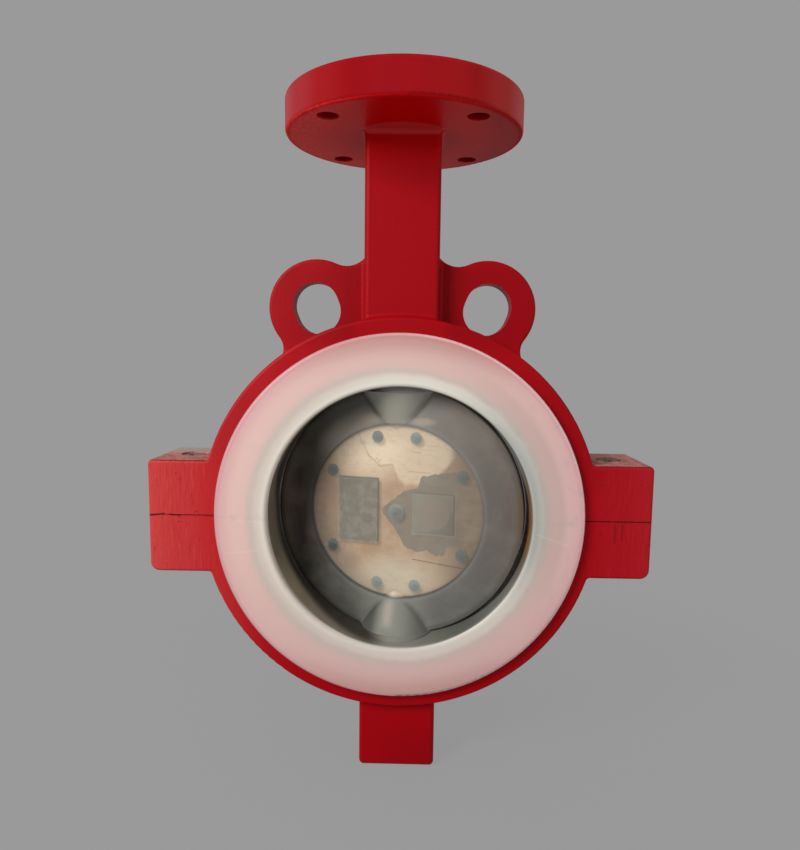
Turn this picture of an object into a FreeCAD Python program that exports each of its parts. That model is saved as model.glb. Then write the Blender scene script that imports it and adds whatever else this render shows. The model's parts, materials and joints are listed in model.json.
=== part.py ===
import FreeCAD, Part
import Sketcher
import math
import os
import re

# Lined butterfly valve for a 150 mm pipe, wafer body in two halves, bare shaft end.
# The origin is where the shaft axis crosses the middle of the pipe bore.
# +Z points up the shaft to the actuator flange and Y runs along the pipe.
# At rest the disc stands a little open, its right side turned towards the front at -Y.

# Driving sizes, in millimetres unless their note says otherwise.
SIZES = (
    # Body ring, cast in two halves
    ("ring_radius", 106.0, "outside radius of the body ring"),
    ("ring_half_width", 23.3, "half the ring's width along the pipe"),
    ("ring_bore_radius", 80.0, "radius that the liner and its backing sit in"),
    ("ring_edge_round", 1.8, "rounding of the outline that ring and lugs share on each face"),
    ("parting_gap", 0.4, "gap between the two clamped halves"),
    ("casting_fillet", 2.5, "fillet where cast forms meet"),
    # Bolting ears on the upper half
    ("ear_circle_radius", 120.0, "radius of the pipe flange's bolt circle"),
    ("ear_angle", 22.5, "angle of each ear from the shaft axis, degrees"),
    ("ear_thickness", 12.5, "thickness of the ear plate"),
    ("ear_lobe_radius", 26.0, "outside radius of each ear"),
    ("ear_hole_radius", 12.35, "half the width of each ear's slot"),
    ("ear_hole_stretch", 3.2, "how much longer than wide the slot is"),
    ("ear_edge_round", 1.6, "rounding of the ear plate's outline"),
    ("saddle_radius", 13.0, "hollow between an ear and the neck"),
    ("saddle_reach", 30.0, "distance of that hollow from the shaft axis"),
    ("ear_blend_radius", 10.0, "hollow between an ear and the ring"),
    # Neck and actuator flange
    ("neck_width", 39.4, "neck across the pipe"),
    ("neck_depth", 34.0, "neck along the pipe"),
    ("neck_edge_round", 2.6, "rounding of the neck's long edges"),
    ("flange_top", 218.0, "height of the actuator flange's face"),
    ("flange_thickness", 18.0, "thickness of the actuator flange"),
    ("flange_radius", 62.5, "outside radius of the actuator flange"),
    ("flange_bolt_edge", 11.5, "distance of the flange's bolt circle from its rim"),
    ("flange_hole_radius", 5.5, "radius of the flange's bolt holes"),
    ("flange_edge_round", 2.0, "rounding of the flange's rim"),
    # Side lugs that clamp the halves
    ("lug_reach", 134.0, "distance of a lug's outer face from the middle"),
    ("lug_height", 29.5, "height of an upper lug above the split"),
    ("lug_foot_depth", 31.4, "depth of a lower lug below the split"),
    ("lug_top_round", 2.5, "rounding of an upper lug's outer end"),
    ("lug_foot_round", 5.0, "rounding of a lower lug's outer end"),
    ("lug_fillet", 2.0, "fillet where a lug meets the ring"),
    ("screw_reach", 116.0, "distance of a clamp screw from the middle"),
    ("screw_radius", 4.0, "radius of a clamp screw's shank"),
    ("screw_hole_clearance", 0.5, "clearance round a clamp screw's shank"),
    ("screw_head_radius", 6.5, "radius of a clamp screw's head"),
    ("screw_head_height", 8.0, "height of a clamp screw's head"),
    ("screw_head_clearance", 0.75, "clearance round a clamp screw's head"),
    ("screw_head_setback", 0.8, "how far the head lies below the lug's top"),
    ("screw_socket_radius", 3.46, "corner radius of the screw's hexagon socket"),
    ("screw_socket_depth", 4.0, "depth of the screw's hexagon socket"),
    ("screw_grip", 20.0, "depth of the screw in the lower lug"),
    ("screw_hole_tip", 3.0, "empty depth of the tapped hole below the screw"),
    # Bottom block
    ("block_half_width", 21.0, "half the bottom block across the pipe"),
    ("block_half_depth", 18.0, "half the bottom block along the pipe"),
    ("block_bottom", 144.0, "depth of the bottom block's face"),
    ("block_corner_round", 2.6, "rounding of the bottom block"),
    # Liner and its backing
    ("liner_bore_radius", 69.8, "radius of the liner's bore"),
    ("liner_back_radius", 75.5, "radius of the liner's back"),
    ("liner_face", 28.2, "distance of the liner's faces from the middle"),
    ("flare_radius", 97.6, "outside radius of the liner's flares"),
    ("lip_round", 2.4, "rounding of the lip round the bore"),
    ("flare_edge_round", 1.6, "rounding of a flare's rim"),
    ("backing_half_width", 18.0, "half the backing ring's width"),
    ("port_pad_radius", 22.0, "radius of the pad round each shaft port"),
    ("port_boss_radius", 20.0, "radius of the boss behind each shaft port"),
    ("port_boss_clearance", 0.2, "clearance round the boss and its springs"),
    ("collar_height", 9.0, "height of the liner's collar above the boss"),
    ("collar_wall", 3.0, "wall of the liner's collar"),
    # Shaft and disc
    ("shaft_radius", 11.0, "radius of the shaft"),
    ("running_clearance", 0.05, "radial clearance of the shaft in its bushes"),
    ("shaft_square", 17.0, "width across flats of the shaft's square"),
    ("shaft_rise", 20.0, "height of the shaft above the flange"),
    ("square_setback", 1.0, "height above the flange where the square starts"),
    ("shaft_chamfer", 1.0, "chamfer on the shaft's ends"),
    ("shaft_mark_width", 1.6, "width of the line that shows the disc's position"),
    ("shaft_mark_depth", 1.0, "depth of that line"),
    ("shaft_end", 129.5, "depth of the shaft's lower end"),
    ("shaft_skin_end", 84.0, "where the moulded skin ends on the shaft"),
    ("disc_opening", 13.2, "how far the disc stands open at rest, degrees"),
    ("disc_clearance", 0.4, "clearance between the disc's rim and the liner"),
    ("hub_clearance", 0.3, "clearance between a hub and the liner's pad"),
    ("hub_end_radius", 20.0, "radius of a hub at its end"),
    ("hub_root_radius", 11.0, "radius of a hub where it meets the disc"),
    ("hub_root_height", 46.0, "distance of a hub's root from the middle"),
    ("disc_half_thickness", 11.0, "half the coated disc's thickness in the middle"),
    ("disc_rim_half_width", 3.6, "half the width of the disc's round rim"),
    ("disc_shoulder_radius", 50.0, "radius of the coated disc's flat middle"),
    ("disc_slope_end_radius", 66.0, "radius where the coated slope ends"),
    ("disc_slope_end_height", 5.6, "half thickness where the coated slope ends"),
    ("skin_thickness", 3.0, "thickness of the moulded skin"),
    ("shaft_skin_thickness", 3.1, "thickness of the skin round the shaft"),
    ("core_rim_half_width", 0.5, "half the width of the metal disc's rim"),
    # Marks cast in the disc's front, under the skin
    ("dimple_circle_radius", 42.8, "radius of the circle of locating dimples"),
    ("dimple_radius", 3.1, "radius of a locating dimple"),
    ("dimple_depth", 2.5, "depth of a locating dimple"),
    ("dimple_near_angle", 14.7, "angle of the near dimples from the shaft axis, degrees"),
    ("dimple_far_angle", 59.7, "angle of the far dimples from the shaft axis, degrees"),
    ("centre_dimple_radius", 4.2, "radius of the middle dimple"),
    ("recess_depth", 1.2, "depth of the shallow recesses"),
    ("panel_near", 10.0, "near edge of the oblong recess"),
    ("panel_far", 33.2, "far edge of the oblong recess"),
    ("panel_half_height", 18.2, "half the height of the oblong recess"),
    ("seat_middle", 21.4, "middle of the square recess"),
    ("seat_half_width", 11.1, "half the width of the square recess"),
    ("seat_boss_radius", 8.7, "radius of the round boss in the square recess"),
    # Parts held round the shaft
    ("pressure_ring_height", 7.0, "height of a pressure ring"),
    ("collar_seal_radius", 1.5, "section radius of a collar seal"),
    ("spring_thickness", 1.6, "thickness of a disc spring"),
    ("spring_rise", 1.1, "cone height of a disc spring"),
    ("stack_gap", 0.1, "gap between neighbours in a stack of springs or packing rings"),
    ("bush_radius", 13.0, "outside radius of the bushes"),
    ("bush_setback", 2.0, "distance of a bush from its shoulder"),
    ("neck_bush_length", 20.0, "length of each bush in the neck"),
    ("lower_bush_length", 30.0, "length of the bush in the bottom block"),
    ("washer_thickness", 3.0, "thickness of the thrust washer"),
    ("washer_clearance", 0.3, "gap between the shaft's end and its washer"),
    # Shaft seal in the actuator flange
    ("gland_radius", 16.0, "radius of the gland pocket"),
    ("clip_setback", 1.0, "depth of the retaining ring below the flange face"),
    ("clip_thickness", 1.2, "thickness of the retaining ring"),
    ("clip_groove_depth", 0.9, "how deep the retaining ring sits in its groove"),
    ("clip_inner_radius", 13.4, "inner radius of the retaining ring"),
    ("clip_gap_angle", 44.0, "opening of the retaining ring, degrees"),
    ("clip_ear_radius", 2.2, "radius of the retaining ring's ears"),
    ("clip_ear_hole_radius", 0.9, "radius of the holes in those ears"),
    ("gland_height", 6.2, "height of the gland ring"),
    ("gland_clearance", 0.15, "clearance between the gland ring and the shaft"),
    ("gland_seal_radius", 0.8, "section radius of the gland's O-rings"),
    ("gland_seal_height", 4.3, "height of the O-rings in the gland ring"),
    ("gland_groove_half_width", 1.0, "half the width of the O-ring grooves"),
    ("packing_ring_count", 3, "number of packing rings"),
    ("chevron_thickness", 1.7, "thickness of a packing ring"),
    ("chevron_rise", 1.4, "height of a packing ring's point"),
    ("packing_shoulder", 1.0, "edge height of the packing's base ring"),
)

# Places and sizes that follow from the driving sizes.
PLACES = (
    ("ear_x", "ear_circle_radius * sin(ear_angle)"),
    ("ear_z", "ear_circle_radius * cos(ear_angle)"),
    ("saddle_z", "ear_z + sqrt((ear_lobe_radius + saddle_radius)^2 - (ear_x - saddle_reach)^2)"),
    ("blend_reach", "ring_radius + ear_blend_radius"),
    ("blend_along", "(ear_circle_radius^2 + blend_reach^2 - (ear_lobe_radius + ear_blend_radius)^2)"
                    " / (2 * ear_circle_radius)"),
    ("blend_across", "sqrt(blend_reach^2 - blend_along^2)"),
    ("blend_x", "blend_along * sin(ear_angle) + blend_across * cos(ear_angle)"),
    ("blend_z", "blend_along * cos(ear_angle) - blend_across * sin(ear_angle)"),
    ("root_radius", "(ring_radius + ring_bore_radius) / 2"),
    ("flange_underside", "flange_top - flange_thickness"),
    ("flange_bolt_circle_radius", "flange_radius - flange_bolt_edge"),
    ("port_boss_end", "ring_bore_radius"),
    ("port_pocket_radius", "port_boss_radius + port_boss_clearance"),
    ("port_root", "(liner_bore_radius + sqrt(liner_back_radius^2 - port_pad_radius^2)) / 2"),
    ("collar_bore_radius", "shaft_radius + running_clearance"),
    ("collar_radius", "collar_bore_radius + collar_wall"),
    ("collar_end", "port_boss_end + collar_height"),
    ("pressure_ring_end", "port_boss_end + pressure_ring_height"),
    ("spring_height", "spring_thickness + spring_rise"),
    ("spring_pocket_end", "pressure_ring_end + 2 * spring_height + stack_gap"),
    ("spring_bore_radius", "collar_radius + port_boss_clearance"),
    ("neck_bush_start", "spring_pocket_end + bush_setback"),
    ("washer_start", "shaft_end + washer_clearance"),
    ("shaft_bore_end", "washer_start + washer_thickness"),
    ("clip_end", "flange_top - clip_setback"),
    ("clip_start", "clip_end - clip_thickness"),
    ("gland_start", "clip_start - gland_height"),
    ("packing_pitch", "chevron_thickness + stack_gap"),
    ("packing_start", "gland_start - packing_ring_count * packing_pitch"),
    ("packing_floor", "packing_start - packing_shoulder"),
    ("packing_middle_radius", "(collar_bore_radius + gland_radius) / 2"),
    ("shaft_top", "flange_top + shaft_rise"),
    ("square_start", "flange_top + square_setback"),
    ("disc_radius", "liner_bore_radius - disc_clearance"),
    ("disc_rim_edge_radius", "sqrt(disc_radius^2 - disc_rim_half_width^2)"),
    ("hub_face", "sqrt(disc_radius^2 - hub_end_radius^2)"),
    ("port_pad_face", "hub_face + hub_clearance"),
    ("core_half_thickness", "disc_half_thickness - skin_thickness"),
    ("core_shoulder_radius", "disc_shoulder_radius - skin_thickness / 2"),
    ("core_slope_end_radius", "disc_slope_end_radius - skin_thickness"),
    ("core_slope_end_height", "disc_slope_end_height - skin_thickness"),
    ("core_hub_end_radius", "hub_end_radius - skin_thickness"),
    ("core_hub_root_radius", "hub_root_radius - skin_thickness"),
    ("core_hub_face", "hub_face - skin_thickness"),
    ("covered_shaft_radius", "shaft_radius - shaft_skin_thickness"),
    ("gland_seal_level", "gland_start + gland_seal_height"),
    ("head_seat", "lug_height - screw_head_setback - screw_head_height"),
)

doc = FreeCAD.newDocument("lined_butterfly_valve")


def make_sheet(name, rows):
    """Make a spreadsheet whose cells hold the rows' values under their names."""
    sheet = doc.addObject("Spreadsheet::Sheet", name)
    for line, row in enumerate(rows, start=1):
        sheet.set("A%d" % line, row[0])
        sheet.set("B%d" % line, str(row[1]))
        sheet.setAlias("B%d" % line, row[0])
        if len(row) > 2:
            sheet.set("C%d" % line, row[2])
    doc.recompute()
    return sheet


OWNERS = {row[0]: "Sizes" for row in SIZES}
OWNERS.update({row[0]: "Places" for row in PLACES})


def bound(text, own=None):
    """Turn each size's name in the text into a reference to its spreadsheet cell."""
    def reference(match):
        word = match.group()
        if word not in OWNERS or OWNERS[word] == own:
            return word
        return OWNERS[word] + "." + word
    return re.sub(r"[a-z_]+", reference, text)


sizes = make_sheet("Sizes", SIZES)
places = make_sheet("Places", [(name, "=" + bound(text, "Places")) for name, text in PLACES])


def number(text):
    """Work out an expression in millimetres or degrees."""
    return float(sizes.evalExpression(bound(str(text), "Sizes")))


def negative(text):
    """The expression with its sign turned."""
    return "0 - (%s)" % text


def mirrored(points, arcs=None):
    """The same outline on the other side of its first axis, still turning the same way."""
    return [(negative(x), y) for x, y in reversed(points)], renumbered(points, arcs)


def turned_down(points, arcs=None):
    """The same outline on the other side of its second axis, still turning the same way."""
    return [(x, negative(y)) for x, y in reversed(points)], renumbered(points, arcs)


def renumbered(points, arcs):
    """The arcs' places once the order of the points is turned round."""
    count = len(points)
    return {(count - 2 - index) % count: radius for index, radius in (arcs or {}).items()}


# Sketches

def new_body(name):
    """A new body whose label names its piece."""
    body = doc.addObject("PartDesign::Body", name + "_body")
    body.Label = name
    return body


def origin_feature(body, role):
    """One of the body's own base planes or axes."""
    return next(item for item in body.Origin.OriginFeatures if item.Role == role)


def new_sketch(body, role, lift="0", shift="0"):
    """A sketch on one of the body's base planes, lifted off it and shifted along X."""
    sketch = body.newObject("Sketcher::SketchObject", body.Label + "_sketch")
    sketch.AttachmentSupport = (origin_feature(body, role), [""])
    sketch.MapMode = "FlatFace"
    sketch.setExpression("AttachmentOffset.Base.z", bound(lift))
    sketch.setExpression("AttachmentOffset.Base.x", bound(shift))
    return sketch


def bind(sketch, kind, places_in_sketch, text):
    """Add one measured constraint and bind it to an expression."""
    value = number(text)
    index = sketch.addConstraint(Sketcher.Constraint(kind, *places_in_sketch, value))
    if bound(str(text)) != str(text):
        sketch.setExpression("Constraints[%d]" % index, bound(text))


def pin_point(sketch, geometry, point, x, y):
    """Fix a sketch point by its two distances from the sketch's origin."""
    bind(sketch, "DistanceX", (-1, 1, geometry, point), x)
    bind(sketch, "DistanceY", (-1, 1, geometry, point), y)


def arc_between(first, last, radius):
    """An arc from first to last; a positive radius has its centre on the left of the way."""
    middle = (first + last) * 0.5
    way = last - first
    reach = math.sqrt(max(radius ** 2 - (way.Length / 2) ** 2, 0.0))
    side = FreeCAD.Vector(-way.y, way.x, 0)
    side.normalize()
    centre = middle + side * math.copysign(reach, radius)
    start = math.atan2(first.y - centre.y, first.x - centre.x)
    end = math.atan2(last.y - centre.y, last.x - centre.x)
    circle = Part.Circle(centre, FreeCAD.Vector(0, 0, 1), abs(radius))
    if radius > 0:
        return Part.ArcOfCircle(circle, start, end), 1, 2
    return Part.ArcOfCircle(circle, end, start), 2, 1


def add_outline(sketch, points, arcs=None):
    """A closed outline through the points; arcs gives the radius of the side after a point."""
    arcs = arcs or {}
    spots = [FreeCAD.Vector(number(x), number(y), 0) for x, y in points]
    ends = []
    for index, spot in enumerate(spots):
        following = spots[(index + 1) % len(spots)]
        if index in arcs:
            piece, start, end = arc_between(spot, following, number(arcs[index]))
        else:
            piece, start, end = Part.LineSegment(spot, following), 1, 2
        ends.append((sketch.addGeometry(piece), start, end))
    for index, (geometry, start, end) in enumerate(ends):
        following, next_start, next_end = ends[(index + 1) % len(ends)]
        sketch.addConstraint(Sketcher.Constraint("Coincident", geometry, end, following, next_start))
        pin_point(sketch, geometry, start, *points[index])
        if index in arcs:
            bind(sketch, "Radius", (geometry,), arcs[index].lstrip("-"))


def add_circle(sketch, x, y, radius):
    """A circle whose centre and radius are bound."""
    centre = FreeCAD.Vector(number(x), number(y), 0)
    piece = Part.Circle(centre, FreeCAD.Vector(0, 0, 1), number(radius))
    geometry = sketch.addGeometry(piece)
    pin_point(sketch, geometry, 3, x, y)
    bind(sketch, "Radius", (geometry,), radius)


def add_slot(sketch, first, last, radius):
    """A slot with round ends about two centres."""
    starts = FreeCAD.Vector(number(first[0]), number(first[1]), 0)
    finish = FreeCAD.Vector(number(last[0]), number(last[1]), 0)
    turn = math.atan2(finish.y - starts.y, finish.x - starts.x)
    normal, reach = FreeCAD.Vector(0, 0, 1), number(radius)
    side = FreeCAD.Vector(-math.sin(turn), math.cos(turn), 0) * reach
    near = Part.ArcOfCircle(Part.Circle(starts, normal, reach), turn + math.pi / 2, turn + math.pi * 1.5)
    far = Part.ArcOfCircle(Part.Circle(finish, normal, reach), turn - math.pi / 2, turn + math.pi / 2)
    near, right, far, left = [sketch.addGeometry(piece) for piece in (
        near, Part.LineSegment(starts - side, finish - side),
        far, Part.LineSegment(finish + side, starts + side))]
    for before, after in ((near, right), (right, far), (far, left), (left, near)):
        sketch.addConstraint(Sketcher.Constraint("Tangent", before, 2, after, 1))
    pin_point(sketch, near, 3, *first)
    pin_point(sketch, far, 3, *last)
    bind(sketch, "Radius", (near,), radius)
    sketch.addConstraint(Sketcher.Constraint("Equal", near, far))


def box_points(left, right, low, high):
    """The four corners of an upright rectangle."""
    return [(left, low), (right, low), (right, high), (left, high)]


# Features

def add_feature(body, kind, sketch, settings, bindings):
    """Add a feature made from a sketch, with its settings and bound sizes."""
    feature = body.newObject("PartDesign::" + kind, "%s_%s" % (body.Label, kind.lower()))
    feature.Profile = sketch
    for name, value in settings.items():
        setattr(feature, name, value)
    for name, text in bindings.items():
        feature.setExpression(name, bound(text))
    return feature


def pad(body, sketch, length, symmetric=False, downwards=False):
    """Extrude a sketch, to one side or evenly to both."""
    side = "Symmetric" if symmetric else "One side"
    return add_feature(body, "Pad", sketch, {"SideType": side, "Reversed": downwards}, {"Length": length})


def checked_cut(body, kind, sketch, settings, bindings):
    """Add a cutting feature, and make sure that it took something away."""
    doc.recompute()
    before = body.Shape.Volume
    feature = add_feature(body, kind, sketch, settings, bindings)
    doc.recompute()
    if not feature.Shape.Volume < before:
        raise RuntimeError("%s removes nothing" % feature.Name)
    return feature


def pocket(body, sketch, length=None, upwards=False):
    """Cut a sketch into the body to a length, or right through it both ways."""
    if length is None:
        return checked_cut(body, "Pocket", sketch, {"Type": "ThroughAll", "SideType": "Symmetric"}, {})
    return checked_cut(body, "Pocket", sketch, {"Reversed": upwards}, {"Length": length})


def spin(body, sketch, angle=360.0, backwards=False):
    """Turn a sketch round its own vertical axis."""
    settings = {"ReferenceAxis": (sketch, ["V_Axis"]), "Angle": angle, "Reversed": backwards}
    return add_feature(body, "Revolution", sketch, settings, {})


def groove(body, sketch):
    """Cut a sketch turned round its own vertical axis."""
    settings = {"ReferenceAxis": (sketch, ["V_Axis"]), "Angle": 360.0}
    return checked_cut(body, "Groove", sketch, settings, {})


def lies_on(edge, tolerance=0.01, **levels):
    """True if every sampled point of an edge has the given coordinates, taken without sign."""
    for point in edge.discretize(7):
        found = {
            "x": abs(point.x),
            "y": abs(point.y),
            "z": abs(point.z),
            "radius": math.hypot(point.x, point.z),
            "shaft": math.hypot(point.x, point.y),
        }
        for name, level in levels.items():
            if abs(found[name] - number(level)) > tolerance:
                return False
    return True


def soften(body, kind, size, test):
    """Fillet or chamfer the edges of the body's last feature that pass the test."""
    doc.recompute()
    base = body.Tip
    names = ["Edge%d" % count for count, edge in enumerate(base.Shape.Edges, start=1)
             if not edge.Degenerated and test(edge)]
    if not names:
        raise RuntimeError("no edge found for a %s of %s" % (kind, body.Label))
    feature = body.newObject("PartDesign::" + kind, "%s_%s" % (body.Label, kind.lower()))
    feature.Base = (base, names)
    feature.setExpression("Radius" if kind == "Fillet" else "Size", bound(size))
    doc.recompute()
    if feature.Shape.isNull():
        raise RuntimeError("the %s of %s by %s failed" % (kind, body.Label, size))
    return feature


def turned_ring(name, points, arcs=None):
    """A body turned round the shaft axis from one closed profile."""
    body = new_body(name)
    sketch = new_sketch(body, "XZ_Plane")
    add_outline(sketch, points, arcs)
    spin(body, sketch)
    return body


# Casting forms that both halves share; side is 1 for the upper half and -1 for the lower

def signed(text, side):
    """The expression, with its sign turned on the lower half."""
    return text if side > 0 else negative(text)


def add_half_ring(body, side):
    """Half of the body ring, turned round the pipe axis."""
    sketch = new_sketch(body, "XY_Plane")
    add_outline(sketch, box_points("ring_bore_radius", "ring_radius",
                                   negative("ring_half_width"), "ring_half_width"))
    return spin(body, sketch, angle=180.0, backwards=side > 0)


def add_lugs(body, side):
    """The half of both side lugs above or below the split, flush with the ring's faces."""
    height, corner = ("lug_height", "lug_top_round") if side > 0 else ("lug_foot_depth", "lug_foot_round")
    outline = [
        ("root_radius", "0"),
        ("lug_reach", "0"),
        ("lug_reach", "%s - %s" % (height, corner)),
        ("lug_reach - " + corner, height),
        ("root_radius", height),
    ], {2: corner}
    if side < 0:
        outline = turned_down(*outline)
    sketch = new_sketch(body, "XZ_Plane")
    add_outline(sketch, *outline)
    add_outline(sketch, *mirrored(*outline))
    return pad(body, sketch, "2 * ring_half_width", symmetric=True)


def is_lug_joint(edge):
    """True for an edge where the top or the foot of a lug meets the ring."""
    levels = ("lug_height", "lug_foot_depth")
    return any(lies_on(edge, radius="ring_radius", z=level) for level in levels)


def is_outline_edge(edge, tolerance=0.01):
    """True for an edge of the outer outline that ring and lugs share on their front or back face."""
    if lies_on(edge, z="0") or not lies_on(edge, y="ring_half_width"):
        return False
    reach = min(math.hypot(point.x, point.z) for point in edge.discretize(7))
    return reach > number("ring_radius") - tolerance


def soften_outline(body):
    """Fill where each lug meets the ring, then round the outline of both on each face."""
    soften(body, "Fillet", "lug_fillet", is_lug_joint)
    soften(body, "Fillet", "ring_edge_round", is_outline_edge)


def cut_parting_face(body, side):
    """Trim the half back from the split, so that the clamped halves keep their gap."""
    sketch = new_sketch(body, "XY_Plane")
    reach, depth = "lug_reach + ring_half_width", "2 * ring_half_width"
    add_outline(sketch, box_points(negative(reach), reach, negative(depth), depth))
    return pocket(body, sketch, "parting_gap / 2", upwards=side > 0)


def cut_lug_holes(body, radius, start, length, upwards=False):
    """A round hole in each lug, from a level and over a length."""
    sketch = new_sketch(body, "XY_Plane", lift=start)
    add_circle(sketch, "screw_reach", "0", radius)
    add_circle(sketch, negative("screw_reach"), "0", radius)
    return pocket(body, sketch, length, upwards=upwards)


# Upper half

def add_ear_plate(body):
    """The plate that carries both ears: straight sides between the centres of its arcs."""
    sketch = new_sketch(body, "XZ_Plane")
    share = "root_radius / blend_reach"
    right = [("blend_x * " + share, "blend_z * " + share), ("blend_x", "blend_z"),
             ("ear_x", "ear_z"), ("saddle_reach", "saddle_z")]
    left, _ = mirrored(right)
    add_outline(sketch, [("0", "root_radius")] + right + left)
    pad(body, sketch, "ear_thickness", symmetric=True)


def cut_ear_hollows(body):
    """The hollows beside the neck and above the ring."""
    sketch = new_sketch(body, "XZ_Plane")
    for x in ("saddle_reach", negative("saddle_reach")):
        add_circle(sketch, x, "saddle_z", "saddle_radius")
    for x in ("blend_x", negative("blend_x")):
        add_circle(sketch, x, "blend_z", "ear_blend_radius")
    pocket(body, sketch)


def add_ear_lobes(body):
    """The round ends of the ears."""
    sketch = new_sketch(body, "XZ_Plane")
    for x in ("ear_x", negative("ear_x")):
        add_circle(sketch, x, "ear_z", "ear_lobe_radius")
    pad(body, sketch, "ear_thickness", symmetric=True)


def cut_ear_slots(body):
    """The slots for the pipe flange's bolts, each stretched towards the middle of the bore."""
    sketch = new_sketch(body, "XZ_Plane")
    for side in ("ear_angle", "(0 - ear_angle)"):
        centres = []
        for end in ("-", "+"):
            reach = "(ear_circle_radius %s ear_hole_stretch / 2)" % end
            centres.append(("%s * sin(%s)" % (reach, side), "%s * cos(%s)" % (reach, side)))
        add_slot(sketch, *centres, "ear_hole_radius")
    pocket(body, sketch)


def add_neck(body):
    """The oblong neck between the ring and the actuator flange."""
    sketch = new_sketch(body, "XY_Plane", lift="root_radius")
    width, depth = "neck_width / 2", "neck_depth / 2"
    add_outline(sketch, box_points(negative(width), width, negative(depth), depth))
    pad(body, sketch, "flange_top - root_radius")


def add_flange(body):
    """The round actuator flange."""
    sketch = new_sketch(body, "XY_Plane", lift="flange_underside")
    add_circle(sketch, "0", "0", "flange_radius")
    pad(body, sketch, "flange_thickness")


def cut_flange_holes(body):
    """Four bolt holes on the flange's circle, between the pipe and shaft directions."""
    sketch = new_sketch(body, "XY_Plane", lift="flange_underside")
    add_circle(sketch, "flange_bolt_circle_radius * cos(45)", "flange_bolt_circle_radius * sin(45)",
               "flange_hole_radius")
    hole = pocket(body, sketch, "flange_thickness", upwards=True)
    pattern = body.newObject("PartDesign::PolarPattern", "flange_hole_pattern")
    pattern.Originals = [hole]
    pattern.Axis = (origin_feature(body, "Z_Axis"), [""])
    pattern.Angle = 360.0
    pattern.Occurrences = 4
    body.Tip = pattern


def cut_upper_shaft_bore(body):
    """The stepped bore for the springs, the bushes, the packing and the retaining ring."""
    sketch = new_sketch(body, "XZ_Plane")
    clip = "gland_radius + clip_groove_depth"
    add_outline(sketch, [
        ("0", "liner_bore_radius"),
        ("port_pocket_radius", "liner_bore_radius"),
        ("port_pocket_radius", "spring_pocket_end"),
        ("bush_radius", "spring_pocket_end"),
        ("bush_radius", "packing_floor"),
        ("gland_radius", "packing_floor"),
        ("gland_radius", "clip_start"),
        (clip, "clip_start"),
        (clip, "clip_end"),
        ("gland_radius", "clip_end"),
        ("gland_radius", "shaft_top"),
        ("0", "shaft_top"),
    ])
    groove(body, sketch)


def is_ear_outline(edge):
    """True for an edge of the ears' rounded outline on either face of the plate."""
    if not lies_on(edge, y="ear_thickness / 2"):
        return False
    curves = (("ear_x", "ear_z", "ear_lobe_radius"), ("saddle_reach", "saddle_z", "saddle_radius"),
              ("blend_x", "blend_z", "ear_blend_radius"))
    for x, z, radius in curves:
        middle = (number(x), number(z))
        gaps = [abs(math.hypot(abs(point.x) - middle[0], point.z - middle[1]) - number(radius))
                for point in edge.discretize(7)]
        if max(gaps) < 0.01:
            return True
    return False


def is_neck_joint(edge):
    """True for an edge where the neck meets an ear, or where its front or back meets the ring."""
    if lies_on(edge, x="neck_width / 2", y="ear_thickness / 2"):
        return True
    return lies_on(edge, radius="ring_radius", y="neck_depth / 2")


def is_neck_top(edge):
    """True for an edge where the neck meets the flange's underside."""
    reach = max(math.hypot(point.x, point.y) for point in edge.discretize(7))
    return lies_on(edge, z="flange_underside") and reach < number("neck_width")


def make_upper_body():
    """Upper half of the body, with the ears, the neck and the actuator flange."""
    body = new_body("upper_body")
    add_ear_plate(body)
    cut_ear_hollows(body)
    add_ear_lobes(body)
    cut_ear_slots(body)
    soften(body, "Fillet", "ear_edge_round", is_ear_outline)
    add_half_ring(body, 1)
    add_lugs(body, 1)
    soften_outline(body)
    add_neck(body)
    soften(body, "Fillet", "neck_edge_round",
           lambda edge: lies_on(edge, x="neck_width / 2", y="neck_depth / 2"))
    soften(body, "Fillet", "casting_fillet", is_neck_joint)
    add_flange(body)
    soften(body, "Fillet", "casting_fillet", is_neck_top)
    soften(body, "Fillet", "flange_edge_round", lambda edge: lies_on(edge, shaft="flange_radius"))
    cut_parting_face(body, 1)
    cut_lug_holes(body, "screw_radius + screw_hole_clearance", "0", "lug_height", upwards=True)
    cut_lug_holes(body, "screw_head_radius + screw_head_clearance", "head_seat", "lug_height", upwards=True)
    cut_flange_holes(body)
    cut_upper_shaft_bore(body)
    return body


# Lower half

def add_bottom_block(body):
    """The block that holds the shaft's lower end."""
    sketch = new_sketch(body, "XY_Plane", lift=negative("block_bottom"))
    add_outline(sketch, box_points(negative("block_half_width"), "block_half_width",
                                   negative("block_half_depth"), "block_half_depth"))
    pad(body, sketch, "block_bottom - root_radius")


def cut_lower_shaft_bore(body):
    """The blind bore for the lower springs, bush and thrust washer."""
    sketch = new_sketch(body, "XZ_Plane")
    add_outline(sketch, *turned_down([
        ("0", "liner_bore_radius"),
        ("port_pocket_radius", "liner_bore_radius"),
        ("port_pocket_radius", "spring_pocket_end"),
        ("bush_radius", "spring_pocket_end"),
        ("bush_radius", "shaft_bore_end"),
        ("0", "shaft_bore_end"),
    ]))
    groove(body, sketch)


def make_lower_body():
    """Lower half of the body, with the bottom block."""
    body = new_body("lower_body")
    add_half_ring(body, -1)
    add_lugs(body, -1)
    soften_outline(body)
    add_bottom_block(body)
    soften(body, "Fillet", "block_corner_round",
           lambda edge: lies_on(edge, x="block_half_width", y="block_half_depth"))
    soften(body, "Fillet", "block_corner_round", lambda edge: lies_on(edge, z="block_bottom"))
    cut_parting_face(body, -1)
    cut_lug_holes(body, "screw_radius", "0", "parting_gap / 2 + screw_grip + screw_hole_tip")
    cut_lower_shaft_bore(body)
    return body


# Liner and backing

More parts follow.
